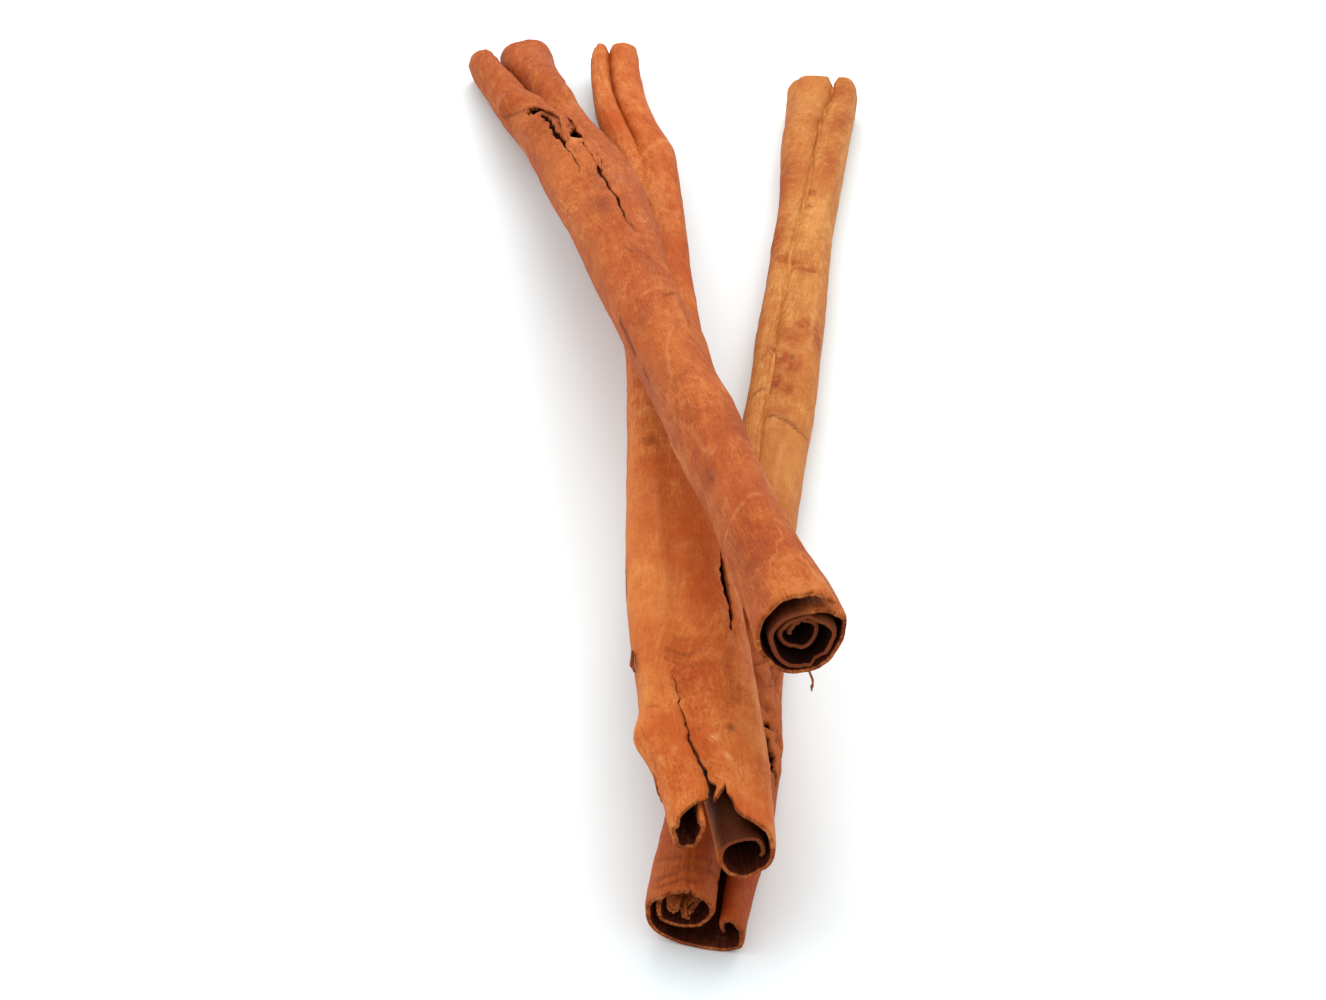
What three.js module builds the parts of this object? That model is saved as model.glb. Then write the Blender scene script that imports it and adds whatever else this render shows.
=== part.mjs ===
// A stack of three cinnamon sticks: curls of dried cassia bark, lying across each other.
// Millimetres, +Z up. Every stick runs from its far end (+Y) to its near end (-Y).
import * as THREE from 'three';

// Driving dimensions shared by all sticks.
const barkThickness = 0.6;
const flatSpot = 0.16; // how much of a round underside is worn flat where it touches the table
const innerStations = 25; // cross-sections between the two ends
const endStations = [0, 0.012]; // closer ones at each end, as shares of the length
const curlStep = 0.33; // quarter turns between points round a curl
const backStep = 0.17; // and across a broad back, where the sheet is nearly flat

// Each stick is one sheet of bark, rolled from both edges. A winding describes its cross-section
// at one place along the stick. Turns are counted in quarters from the point where the sheet
// faces outward away from its curls: negative ones wind into the left curl and positive ones
// into the right. Each curl has a centre, a radius at every quarter turn, and corner numbers: 2
// is a round quarter and more is a squarer one. The last number holds for the quarters after it.
const topStick = {
  name: 'top_stick',
  colour: 0xb87445,
  farY: 78.5,
  nearY: -66.4,
  sideways: [-19.83, -16.97, -12.6, -8.55, -5.54, -3.14, 0.15, 2.77, 6.07, 9.01, 11.98],
  widths: [10.94, 9.56, 9.63, 10.78, 9.42, 8.01, 8.04, 6.79, 6.96, 6.87, 8.23],
  farRise: -flatSpot,
  nearRise: 20.7,
  arch: 0.8,
  curlsDown: false,
  broadBack: false,
  edgeWander: 0.14,
  windings: [
    {
      at: 0, height: 5.2, turns: [-3.7, 7.1],
      left: { centre: [-3.8, 2.1], radii: [2.1, 1.8, 2.1, 1.7, 1.2, 1.0], corners: [2] },
      right: { centre: [2.1, 2.3], radii: [2.3, 3.5, 2.3, 3.4, 1.5, 2.6, 1.5, 2.5, 0.7, 1.7, 0.7], corners: [2.2] },
    },
    {
      at: 0.1, height: 5.6, turns: [-3.2, 7.4],
      left: { centre: [-2.67, 2.5], radii: [2.5, 1.97, 2.5, 1.9, 1.6, 1.1], corners: [2] },
      right: { centre: [2.37, 2.5], radii: [2.5, 2.27, 2.5, 2.2, 1.55, 1.4, 1.6, 1.3, 0.7, 0.5, 0.7], corners: [2.1] },
    },
    {
      at: 0.125, height: 5.7, turns: [-2.5, 7.6],
      left: { centre: [-2.5, 2.6], radii: [2.6, 2.1, 2.7, 2.0, 1.6, 1.1], corners: [2] },
      right: { centre: [2.3, 2.5], radii: [2.5, 2.4, 2.4, 2.2, 1.6, 1.5, 1.5, 1.3, 0.7, 0.6, 0.6], corners: [2.1] },
    },
    {
      at: 0.16, height: 5.9, turns: [-2.35, 7.9],
      left: { centre: [-1.9, 2.7], radii: [2.7, 2.6, 3.25, 3.4, 2.9, 2.9], corners: [2] },
      right: { centre: [2.0, 2.5], radii: [2.5, 2.6, 1.85, 2.3, 1.55, 1.7, 1.0, 1.4, 0.6, 0.8, 0.25], corners: [2.1] },
    },
    {
      at: 0.23, height: 6.3, turns: [-2.4, 8.3],
      left: { centre: [-1.2, 2.9], radii: [2.9, 3.3, 3.5, 4.2, 2.9, 2.9], corners: [2] },
      right: { centre: [1.3, 2.7], radii: [2.7, 3.1, 1.85, 2.7, 1.8, 2.2, 1.0, 1.8, 0.95, 1.4, 0.2], corners: [2.1] },
    },
    {
      at: 0.42, height: 7.0, turns: [-2.5, 9.4],
      left: { centre: [0, 3.1], radii: [3.1, 4.1, 3.6, 4.5, 2.9, 2.9], corners: [2] },
      right: { centre: [0, 3.1], radii: [3.1, 3.75, 2.6, 3.2, 2.25, 2.9, 1.75, 2.35, 1.4, 2.0, 0.9], corners: [2] },
    },
    {
      at: 1, height: 8.1, turns: [-2.55, 10.4],
      left: { centre: [0, 3.7], radii: [3.7, 3.8, 3.95, 4.4, 3.3, 3.3], corners: [2] },
      right: { centre: [0, 3.7], radii: [3.7, 3.7, 2.9, 2.9, 2.85, 2.75, 2.0, 2.0, 1.95, 1.8, 1.0], corners: [2] },
    },
  ],
  // How far each end is broken back: pairs of a turn and a depth along the stick.
  farEdge: [[-3.9, 2.4], [-2.6, 2.9], [-1.5, 1.8], [-0.5, 0.6], [4, 0.4], [6.5, 1.6], [8, 1]],
  nearEdge: [[-2.6, 0.5], [0, 0.5], [0.9, 1.6], [1.8, 0.4], [5, 0.4], [9, 1.6], [11, 1]],
  bumps: [{ at: 0.19, turn: 1.7, along: 0.07, round: 0.7, lift: 0.5 }],
};

const middleStick = {
  name: 'middle_stick',
  colour: 0xbb6a38,
  farY: 79.8,
  nearY: -78.0,
  sideways: [-6.32, -5.25, -2.29, -1.18, -0.79, 0.5, 1.2, 1.54, 2.14, 3.47, 5.22],
  widths: [6.3, 6.64, 7.3, 7.8, 8.5, 8.5, 9.4, 10.4, 10.84, 11.02, 8.9],
  farRise: -flatSpot,
  nearRise: 8.05,
  arch: 0,
  curlsDown: true,
  broadBack: true,
  edgeWander: 0.06,
  windings: [
    {
      at: 0, height: 4.6, turns: [-2.4, 3.3], groove: { x: -0.75, width: 0.5, depth: 1.9 },
      left: { centre: [-2.1, 1.2], radii: [1.2, 1.0, 1.3, 0.8, 0.7, 0.6], corners: [2, 2, 2] },
      right: { centre: [1.3, 2.0], radii: [2.0, 1.8, 2.0, 1.1, 1.2, 1.0, 1.2, 0.3], corners: [2, 2, 2] },
    },
    {
      at: 0.13, height: 5.0, turns: [-2.3, 3.5], groove: { x: -0.8, width: 0.55, depth: 1.7 },
      left: { centre: [-2.2, 1.7], radii: [1.7, 1.2, 1.7, 0.9, 0.8, 0.7], corners: [2, 2, 2.2] },
      right: { centre: [1.4, 2.2], radii: [2.2, 2.0, 2.2, 1.3, 1.4, 1.2, 1.4, 0.5], corners: [2, 2, 2.2] },
    },
    {
      at: 0.25, height: 5.4, turns: [-2.7, 4.4], groove: { x: -0.75, width: 0.8, depth: 0.5 },
      left: { centre: [-2.2, 2.4], radii: [2.4, 1.6, 2.3, 1.2, 1.2, 0.8], corners: [2.1, 2, 2.5] },
      right: { centre: [1.5, 2.4], radii: [2.4, 2.3, 2.4, 1.7, 1.4, 1.4, 1.5, 0.9], corners: [2.1, 2, 2.5] },
    },
    {
      at: 0.42, height: 5.9, turns: [-3.2, 5.3], groove: { x: -0.7, width: 0.9, depth: 0.5 },
      left: { centre: [-2.3, 2.7], radii: [2.7, 1.9, 2.6, 1.5, 1.7, 0.9], corners: [2.2, 2, 2.8] },
      right: { centre: [1.6, 2.7], radii: [2.7, 2.6, 2.6, 1.6, 1.65, 1.65, 1.5, 0.7], corners: [2.2, 2, 2.8] },
    },
    {
      at: 0.72, height: 6.4, turns: [-3.3, 6.1], groove: { x: -0.7, width: 0.9, depth: 0.6 },
      left: { centre: [-2.5, 2.9], radii: [2.9, 2.1, 2.8, 1.7, 1.9, 1.2], corners: [2.2, 2, 2.8] },
      right: { centre: [1.9, 2.9], radii: [2.9, 2.8, 2.8, 1.9, 1.95, 1.9, 1.8, 1.0], corners: [2.2, 2, 2.8] },
    },
    {
      at: 1, height: 6.6, turns: [-3.3, 5.2], groove: { x: -0.6, width: 0.9, depth: 0.9 },
      left: { centre: [-2.9, 1.5], radii: [1.5, 1.25, 1.6, 1.15, 0.7, 0.6], corners: [2, 2, 2.2] },
      right: { centre: [1.8, 4.0], radii: [4.0, 2.5, 2.0, 2.2, 1.9, 1.65, 1.2, 1.3], corners: [2.2, 2, 2] },
    },
  ],
  farEdge: [[-2.7, 3.4], [-1.2, 3.0], [-0.6, 3.2], [-0.3, 0.7], [2, 0.3], [4, 1.5], [6, 0.6]],
  nearEdge: [[-3.3, 1.2], [-1.2, 0.8], [-0.55, 1.8], [-0.1, 5.2], [0.2, 1.2], [1, 0.3], [5.3, 1.0]],
  bumps: [{ at: 0.13, turn: 0.5, along: 0.05, round: 0.9, lift: 0.45 }],
};

const bottomStick = {
  name: 'bottom_stick',
  colour: 0xc98f5a,
  farY: 68.5,
  nearY: -78.6,
  sideways: [20.3, 18.75, 17.21, 15.53, 13.86, 12.09, 10.0, 8.1, 6.63, 5.18, 2.71],
  widths: [8.92, 8.01, 6.92, 6.97, 7.06, 7.37, 7.4, 8.3, 8.8, 9.4, 8.73],
  farRise: -flatSpot,
  nearRise: -flatSpot,
  arch: 0,
  curlsDown: false,
  broadBack: true,
  edgeWander: 0.08,
  windings: [
    {
      at: 0, height: 6.0, turns: [-4.6, 3.5],
      left: { centre: [-1.58, 2.7], radii: [2.7, 2.62, 2.7, 2.6, 1.7, 1.75, 1.7], corners: [2.2, 2, 3, 2.2] },
      right: { centre: [3.0, 2.3], radii: [2.3, 1.2, 2.3, 1.1, 1.3, 0.4, 1.3], corners: [2.2, 2.2, 3, 2.2] },
    },
    {
      at: 0.11, height: 5.8, turns: [-3.8, 3.9],
      left: { centre: [-2.17, 2.6], radii: [2.6, 1.39, 2.6, 1.39, 1.3, 0.6, 1.3], corners: [2.4, 2.2, 4, 2.5] },
      right: { centre: [1.79, 2.6], radii: [2.6, 1.77, 2.6, 1.77, 1.4, 1.0, 1.4], corners: [2.4, 2.2, 4, 2.5] },
    },
    {
      at: 0.3, height: 5.7, turns: [-3.3, 4.6],
      left: { centre: [-2.29, 2.55], radii: [2.55, 0.92, 2.55, 0.92, 1.5, 0.4, 1.5], corners: [2.4, 2.2, 4, 2.5] },
      right: { centre: [1.31, 2.55], radii: [2.55, 1.9, 2.55, 1.9, 1.5, 1.1, 1.55], corners: [2.4, 2.2, 4, 2.5] },
    },
    {
      at: 0.5, height: 5.6, turns: [-3.2, 5.2],
      left: { centre: [-2.62, 2.5], radii: [2.5, 0.82, 2.5, 0.82, 1.5, 0.4, 1.5], corners: [2.4, 2.2, 4, 2.5] },
      right: { centre: [1.2, 2.5], radii: [2.5, 2.22, 2.5, 2.22, 1.5, 1.35, 1.6], corners: [2.4, 2.2, 4, 2.5] },
    },
    {
      at: 0.78, height: 6.2, turns: [-4.2, 4.2],
      left: { centre: [-2.25, 2.8], radii: [2.8, 1.85, 2.8, 1.85, 1.65, 1.0, 1.8], corners: [2.4, 2.2, 3.5, 2.4] },
      right: { centre: [2.25, 2.8], radii: [2.8, 1.85, 2.7, 1.85, 1.65, 1.0, 1.7], corners: [2.4, 2.2, 3.5, 2.4] },
    },
    {
      at: 1, height: 7.0, turns: [-5.7, 3.4],
      left: { centre: [-1.2, 4.1], radii: [4.1, 2.9, 2.3, 2.7, 2.3, 2.1, 1.5], corners: [2.1, 2, 2, 2] },
      right: { centre: [3.2, 1.8], radii: [1.8, 0.95, 1.7, 0.9, 0.9, 0.3, 0.6], corners: [2.2, 2.2, 2.6, 2.2] },
    },
  ],
  farEdge: [[-5.7, 2], [-4.5, 2.5], [-3, 0.6], [4, 0.4]],
  nearEdge: [[-5.8, 1.6], [-4.6, 0.9], [-3, 0.8], [0, 0.3], [1.6, 0.2], [2.4, 0.6], [3.4, 1.4]],
  bumps: [{ at: 0.84, turn: 1.2, along: 0.035, round: 0.8, lift: 0.45 }],
};

const quarterTurn = Math.PI / 2;

function smoothStep(t) {
  const k = Math.min(1, Math.max(0, t));
  return k * k * (3 - 2 * k);
}

// A Catmull-Rom spline through evenly spaced values.
function splineValue(values, position) {
  const last = values.length - 1;
  const p = Math.min(last, Math.max(0, position));
  const i = Math.min(Math.floor(p), last - 1);
  const f = p - i;
  const a = values[Math.max(0, i - 1)];
  const b = values[i];
  const c = values[i + 1];
  const d = values[Math.min(last, i + 2)];
  const square = (2 * a - 5 * b + 4 * c - d) * f * f;
  const cube = (3 * b - a - 3 * c + d) * f * f * f;
  return 0.5 * (2 * b + (c - a) * f + square + cube);
}

function blend(a, b, f) {
  if (typeof a === 'number') return a + (b - a) * f;
  if (Array.isArray(a)) return a.slice(0, b.length).map((value, i) => blend(value, b[i], f));
  return Object.fromEntries(Object.keys(a).map((key) => [key, blend(a[key], b[key], f)]));
}

function windingAt(stick, v) {
  const { windings } = stick;
  let i = 0;
  while (i < windings.length - 2 && v > windings[i + 1].at) i += 1;
  const span = windings[i + 1].at - windings[i].at;
  return blend(windings[i], windings[i + 1], smoothStep((v - windings[i].at) / span));
}

// The radius of a curl after a number of quarter turns. Each quarter is a piece of a
// superellipse between the two radii at its ends, squarer the higher its corner number.
function curlRadius(curl, turns) {
  const i = Math.min(Math.floor(turns), curl.radii.length - 2);
  const angle = Math.min(1, turns - i) * quarterTurn;
  const power = curl.corners[Math.min(i, curl.corners.length - 1)];
  const across = (Math.cos(angle) / curl.radii[i]) ** power;
  const along = (Math.sin(angle) / curl.radii[i + 1]) ** power;
  return (across + along) ** (-1 / power);
}

// A point of the unfitted cross-section, at a number of quarter turns.
function windingPoint(winding, turn) {
  const angle = (turn - 1) * quarterTurn;
  const rightShare = smoothStep(turn + 0.5);
  const radius = blend(
    curlRadius(winding.left, Math.max(0, -turn)),
    curlRadius(winding.right, Math.max(0, turn)),
    rightShare,
  );
  const centre = blend(winding.left.centre, winding.right.centre, rightShare);
  const point = new THREE.Vector2(
    centre[0] + radius * Math.cos(angle),
    centre[1] + radius * Math.sin(angle),
  );
  if (winding.groove && Math.abs(turn) < 1) {
    const { x, width, depth } = winding.groove;
    const fade = smoothStep((1 - Math.abs(turn)) / 0.35);
    point.y += depth * fade * Math.exp(-(((point.x - x) / width) ** 2));
  }
  return point;
}

// The winding at v, with the stretch that fits it to the stick's width and height there.
function crossSection(stick, v) {
  const winding = windingAt(stick, v);
  const wander = stick.edgeWander * Math.sin(23 * v + stick.farY);
  winding.turns = [winding.turns[0] - wander, winding.turns[1] + wander];
  const box = new THREE.Box2();
  const steps = 90;
  for (let i = 0; i <= steps; i += 1) {
    box.expandByPoint(windingPoint(winding, blend(winding.turns[0], winding.turns[1], i / steps)));
  }
  const width = splineValue(stick.widths, v * (stick.widths.length - 1));
  const size = box.getSize(new THREE.Vector2());
  const stretch = new THREE.Vector2(
    (width - barkThickness) / size.x,
    (winding.height - barkThickness) / size.y,
  );
  return { winding, stretch, middle: (box.min.x + box.max.x) / 2, floor: box.min.y };
}

// Where the underside of the stick's box is, at v.
function pathPoint(stick, v) {
  const x = splineValue(stick.sideways, v * (stick.sideways.length - 1));
  const y = blend(stick.farY, stick.nearY, v);
  const z = blend(stick.farRise, stick.nearRise, v) + stick.arch * Math.sin(Math.PI * v);
  return new THREE.Vector3(x, y, z);
}

function pathFrame(stick, v) {
  const step = 0.02;
  const ahead = pathPoint(stick, Math.min(1, v + step));
  const behind = pathPoint(stick, Math.max(0, v - step));
  const tangent = ahead.sub(behind).normalize();
  const side = new THREE.Vector3(0, 0, 1).cross(tangent).normalize();
  const up = tangent.clone().cross(side);
  return { origin: pathPoint(stick, v), side, up };
}

// How far an end is broken back at a number of quarter turns, jagged like snapped bark.
function brokenDepth(edge, turn) {
  const next = edge.findIndex(([place]) => place > turn);
  const i = next < 0 ? edge.length - 2 : Math.max(0, next - 1);
  const [[turnA, depthA], [turnB, depthB]] = [edge[i], edge[i + 1]];
  const share = Math.min(1, Math.max(0, (turn - turnA) / (turnB - turnA)));
  const jag = 0.2 * Math.sin(turn * 5.1 + edge.length) + 0.1 * Math.sin(turn * 11.3);
  return Math.max(0, blend(depthA, depthB, share) + jag);
}

function bumpLift(stick, v, turn) {
  return stick.bumps.reduce((sum, bump) => {
    const along = (v - bump.at) / bump.along;
    const round = (turn - bump.turn) / bump.round;
    return sum + bump.lift * Math.exp(-(along * along + round * round));
  }, 0);
}

// A point on one face of the bark: side is 1 on the outer face and -1 on the inner face.
function barkPoint(stick, v, share, side) {
  const section = crossSection(stick, v);
  const turn = blend(section.winding.turns[0], section.winding.turns[1], share);
  const step = 0.01;
  const point = windingPoint(section.winding, turn);
  const along = windingPoint(section.winding, turn + step)
    .sub(windingPoint(section.winding, turn - step))
    .multiply(section.stretch)
    .normalize();
  const lift = bumpLift(stick, v, turn);
  const reach = side * (barkThickness / 2) + lift;
  const x = (point.x - section.middle) * section.stretch.x + along.y * reach;
  let z = (point.y - section.floor) * section.stretch.y + barkThickness / 2 - along.x * reach;
  if (stick.curlsDown) z = section.winding.height - z;
  const frame = pathFrame(stick, v);
  const place = frame.origin.addScaledVector(frame.side, x).addScaledVector(frame.up, z);
  place.z = Math.max(0, place.z);
  return place;
}

// The quarter turns at which a stick's cross-sections are sampled.
function turnStops(stick, [first, last]) {
  const stops = [first];
  while (last - stops.at(-1) > curlStep) {
    const turn = stops.at(-1);
    stops.push(turn + (stick.broadBack && Math.abs(turn) < 1 ? backStep : curlStep));
  }
  stops.push(last);
  return stops;
}

// Where the cross-sections are, as shares of the length.
function stationStops() {
  const inner = Array.from({ length: innerStations }, (_, i) => (i + 1) / (innerStations + 1));
  return [...endStations, ...inner, ...endStations.map((share) => 1 - share).reverse()];
}

function stickGeometry(stick) {
  const length = stick.farY - stick.nearY;
  const middle = crossSection(stick, 0.5).winding.turns;
  const turns = turnStops(stick, middle);
  const samples = turns.length - 1;
  const ringSize = 2 * (samples + 1);
  const positions = [];
  for (const s of stationStops()) {
    for (let k = 0; k < ringSize; k += 1) {
      const outer = k <= samples;
      const turn = turns[outer ? k : ringSize - 1 - k];
      const share = (turn - middle[0]) / (middle[1] - middle[0]);
      const start = brokenDepth(stick.farEdge, turn) / length;
      const end = 1 - brokenDepth(stick.nearEdge, turn) / length;
      const place = barkPoint(stick, blend(start, end, s), share, outer ? 1 : -1);
      positions.push(place.x, place.y, place.z);
    }
  }
  const faces = [];
  const quad = (a, b, c, d) => {
    const corners = stick.curlsDown ? [a, b, c, a, c, d] : [a, c, b, a, d, c];
    faces.push(...corners);
  };
  const stations = positions.length / 3 / ringSize;
  for (let station = 0; station < stations - 1; station += 1) {
    for (let k = 0; k < ringSize; k += 1) {
      const here = station * ringSize;
      const next = here + ringSize;
      const beside = (k + 1) % ringSize;
      quad(here + k, next + k, next + beside, here + beside);
    }
  }
  const nearRing = (stations - 1) * ringSize;
  for (let k = 0; k < samples; k += 1) {
    const inner = ringSize - 1 - k;
    quad(k, k + 1, inner - 1, inner);
    quad(nearRing + k, nearRing + inner, nearRing + inner - 1, nearRing + k + 1);
  }
  const geometry = new THREE.BufferGeometry();
  geometry.setAttribute('position', new THREE.Float32BufferAttribute(positions, 3));
  geometry.setIndex(faces);
  geometry.computeVertexNormals();
  return geometry;
}

const stack = new THREE.Group();
for (const stick of [topStick, middleStick, bottomStick]) {
  const material = new THREE.MeshStandardMaterial({
    color: stick.colour,
    roughness: 0.85,
    metalness: 0,
  });
  const mesh = new THREE.Mesh(stickGeometry(stick), material);
  mesh.name = stick.name;
  stack.add(mesh);
}

// The origin is the middle of the stack's footprint, on the surface it lies on.
const bounds = new THREE.Box3().setFromObject(stack);
const footprint = bounds.getCenter(new THREE.Vector3());
stack.position.set(-footprint.x, -footprint.y, -bounds.min.z);

export default stack;
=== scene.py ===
import math
import bmesh
import bpy
import numpy as np
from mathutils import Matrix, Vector


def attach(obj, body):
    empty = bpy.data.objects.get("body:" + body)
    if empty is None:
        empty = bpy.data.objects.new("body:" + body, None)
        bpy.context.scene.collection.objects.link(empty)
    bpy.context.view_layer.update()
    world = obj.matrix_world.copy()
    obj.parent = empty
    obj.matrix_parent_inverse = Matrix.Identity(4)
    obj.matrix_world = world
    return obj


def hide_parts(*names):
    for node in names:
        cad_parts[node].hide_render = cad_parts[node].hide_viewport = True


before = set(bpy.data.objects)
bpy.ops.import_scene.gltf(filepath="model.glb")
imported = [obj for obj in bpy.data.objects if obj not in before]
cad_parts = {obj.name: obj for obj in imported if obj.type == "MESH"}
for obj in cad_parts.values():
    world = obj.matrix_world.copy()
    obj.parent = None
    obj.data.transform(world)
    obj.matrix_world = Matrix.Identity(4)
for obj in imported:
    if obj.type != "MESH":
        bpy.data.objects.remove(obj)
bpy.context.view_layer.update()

# Lengths are in millimetres until a mesh is finished. Each stick runs from its far end (+Y)
# to its near end (-Y), and its bark is one sheet rolled up from both edges. Turns round the
# roll are counted in quarters from the point where the sheet faces away from its curls.
millimetre = 0.001  # in metres
quarterTurn = math.pi / 2
sheet = {
    "thickness": 0.6,
    "flatSpot": 0.16,  # how far a round underside is worn flat on the table
    "middle": (-0.245, 0.644),  # middle of the stack's footprint, which is the origin
    "wander": 23,  # how quickly the rolled edges wander along a stick
    "grooveFade": 0.35,  # in quarter turns
    # how many quarter turns the painted shade on a roll's deep turns takes to fade in
    "paintedShadeFade": 0.6,
    "fitPlaces": 241,  # stations along and round a stick where its winding is measured
    "fitTurns": 91,
    "arcSteps": 900,
    "shownStep": 0.31,  # spacing of the mesh round the part of the roll that shows
    "hiddenStep": 0.46,  # spacing just past that part
    "innerStep": 0.28,  # spacing at the innermost turn, where the bends are tight
    "edgeShare": 0.4,  # spacing right at an edge or a crack, as a share of the usual one
    "edgeReach": 2.0,
    "wornEdge": 0.6,  # thickness right at a worn edge, as a share
    "wornReach": 0.4,
}


def smoothStep(t):
    k = np.clip(t, 0, 1)
    return k * k * (3 - 2 * k)


def hill(distance):  # 1 at the middle, down to 0 at a distance of 1
    return smoothStep(1 - np.abs(distance))


def splineValue(values, position):  # a Catmull-Rom spline through evenly spaced values
    values = np.asarray(values, float)
    last = len(values) - 1
    p = np.clip(position, 0, last)
    i = np.minimum(np.floor(p).astype(int), last - 1)
    f = p - i
    a, b = values[np.maximum(i - 1, 0)], values[i]
    c, d = values[i + 1], values[np.minimum(i + 2, last)]
    square = (2 * a - 5 * b + 4 * c - d) * f * f
    cube = (3 * b - a - 3 * c + d) * f * f * f
    return 0.5 * (2 * b + (c - a) * f + square + cube)


def softNoise(points, sizes, seed, waves=26):  # smooth bumps of about these sizes, spread 1
    bumpRate = 2.4
    draw = np.random.default_rng(seed)
    pushes = draw.normal(size=(waves, len(sizes))) * (bumpRate / np.array(sizes))
    phases = draw.uniform(0, 2 * math.pi, waves)
    return np.sin(points @ pushes.T + phases).sum(axis=1) * math.sqrt(2 / waves)


# The winding of each stick: its cross-section at a few places along it, and the path it follows.


def keyShares(keys, v):
    places = np.array([key["at"] for key in keys])
    i = np.clip(np.searchsorted(places, v, side="right") - 1, 0, len(keys) - 2)
    f = smoothStep((v - places[i]) / (places[i + 1] - places[i]))
    shares = np.zeros((len(keys), v.size))
    shares[i, np.arange(v.size)] = 1 - f
    shares[i + 1, np.arange(v.size)] += f
    return shares


def mixed(shares, values):
    return sum(share * value for share, value in zip(shares, values))


def curlAt(keys, shares, side, turns):  # how far a curl reaches from its centre, and that centre
    radii = shares.T @ np.array([key[side]["radii"] for key in keys], float)
    corners = shares.T @ np.array([key[side]["corners"] for key in keys], float)
    x = mixed(shares, [key[side]["x"] for key in keys])
    y = mixed(shares, [key[side]["radii"][0] for key in keys])  # so that it touches y = 0
    here = np.arange(turns.size)
    i = np.clip(np.floor(turns).astype(int), 0, radii.shape[1] - 2)
    angle = np.clip(turns - i, 0, 1) * quarterTurn
    power = corners[here, np.minimum(i, corners.shape[1] - 1)]  # 2 is round, more is squarer
    tiny = 1e-9
    across = np.cos(angle).clip(tiny) / radii[here, i]
    along = np.sin(angle).clip(tiny) / radii[here, i + 1]
    return (across ** power + along ** power) ** (-1 / power), x, y


def windingPoint(keys, turn, v):  # a point of the cross-section, before it is fitted
    shares = keyShares(keys, v)
    leftRadius, leftX, leftY = curlAt(keys, shares, "left", np.maximum(0, -turn))
    rightRadius, rightX, rightY = curlAt(keys, shares, "right", np.maximum(0, turn))
    rightShare = smoothStep(turn + 0.5)
    angle = (turn - 1) * quarterTurn
    radius = leftRadius + (rightRadius - leftRadius) * rightShare
    x = leftX + (rightX - leftX) * rightShare + radius * np.cos(angle)
    y = leftY + (rightY - leftY) * rightShare + radius * np.sin(angle)
    if "groove" in keys[0]:
        grooveX, width, depth = (
            mixed(shares, [key["groove"][name] for key in keys]) for name in ("x", "width", "depth")
        )
        fade = smoothStep((1 - np.abs(turn)) / sheet["grooveFade"])
        y = y + depth * fade * np.exp(-(((x - grooveX) / width) ** 2))
    return x, y


def turnRange(stick, v):
    shares = keyShares(stick["windings"], v)
    wander = stick["edgeWander"] * np.sin(sheet["wander"] * v + stick["farY"])
    first, last = (mixed(shares, [key["turns"][end] for key in stick["windings"]]) for end in (0, 1))
    return first - wander, last + wander


def heightAt(stick, v):
    keys = stick["windings"]
    return mixed(keyShares(keys, v), [key["height"] for key in keys])


def fitTable(stick):  # the stretches that fit the winding to the stick's width and height
    places = np.linspace(0, 1, sheet["fitPlaces"])
    first, last = turnRange(stick, places)
    shares = np.linspace(0, 1, sheet["fitTurns"])
    points = [windingPoint(stick["windings"], first + (last - first) * share, places) for share in shares]
    low, high = np.min(points, axis=0), np.max(points, axis=0)
    width = splineValue(stick["widths"], places * (len(stick["widths"]) - 1))
    return {
        "places": places,
        "stretchX": (width - sheet["thickness"]) / (high[0] - low[0]),
        "stretchY": (heightAt(stick, places) - sheet["thickness"]) / (high[1] - low[1]),
        "middle": (low[0] + high[0]) / 2,
        "floor": low[1],
    }


def pathPoint(stick, v):
    x = splineValue(stick["sideways"], v * (len(stick["sideways"]) - 1))
    y = stick["farY"] + (stick["nearY"] - stick["farY"]) * v
    z = stick["farRise"] + (stick["nearRise"] - stick["farRise"]) * v
    return np.stack([x, y, z + stick["arch"] * np.sin(math.pi * v)], axis=1)


def pathFrame(stick, v):
    step = 0.02
    tangent = pathPoint(stick, np.minimum(1, v + step)) - pathPoint(stick, np.maximum(0, v - step))
    tangent /= np.linalg.norm(tangent, axis=1)[:, None]
    side = np.cross([0, 0, 1], tangent)
    side /= np.linalg.norm(side, axis=1)[:, None]
    return pathPoint(stick, v), side, np.cross(tangent, side)


def sheetPlace(stick, turn, v, lift):  # places on the middle of the bark, lifted outwards
    fit = stick["fit"]
    stretchX, stretchY, middle, floor = (
        np.interp(v, fit["places"], fit[name]) for name in ("stretchX", "stretchY", "middle", "floor")
    )
    keys = stick["windings"]
    x, y = windingPoint(keys, turn, v)
    step = 0.01
    aheadX, aheadY = windingPoint(keys, turn + step, v)
    behindX, behindY = windingPoint(keys, turn - step, v)
    alongX, alongY = (aheadX - behindX) * stretchX, (aheadY - behindY) * stretchY
    size = np.hypot(alongX, alongY)
    placeX = (x - middle) * stretchX + alongY / size * lift
    placeZ = (y - floor) * stretchY + sheet["thickness"] / 2 - alongX / size * lift
    if stick["curlsDown"]:
        placeZ = heightAt(stick, v) - placeZ
    origin, side, up = pathFrame(stick, v)
    return origin + side * placeX[:, None] + up * placeZ[:, None]


brokenEnd = {
    "jag": 0.16,  # depths of the three kinds of break, and their sizes in quarter turns
    "tooth": 0.05,
    "splinter": 0.4,
    "sizes": (0.7, 0.16, 0.22),
    "splinterLevel": 1.4,  # splinters are only the tops of their bumps
    "nearDraw": 10,
}


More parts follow.
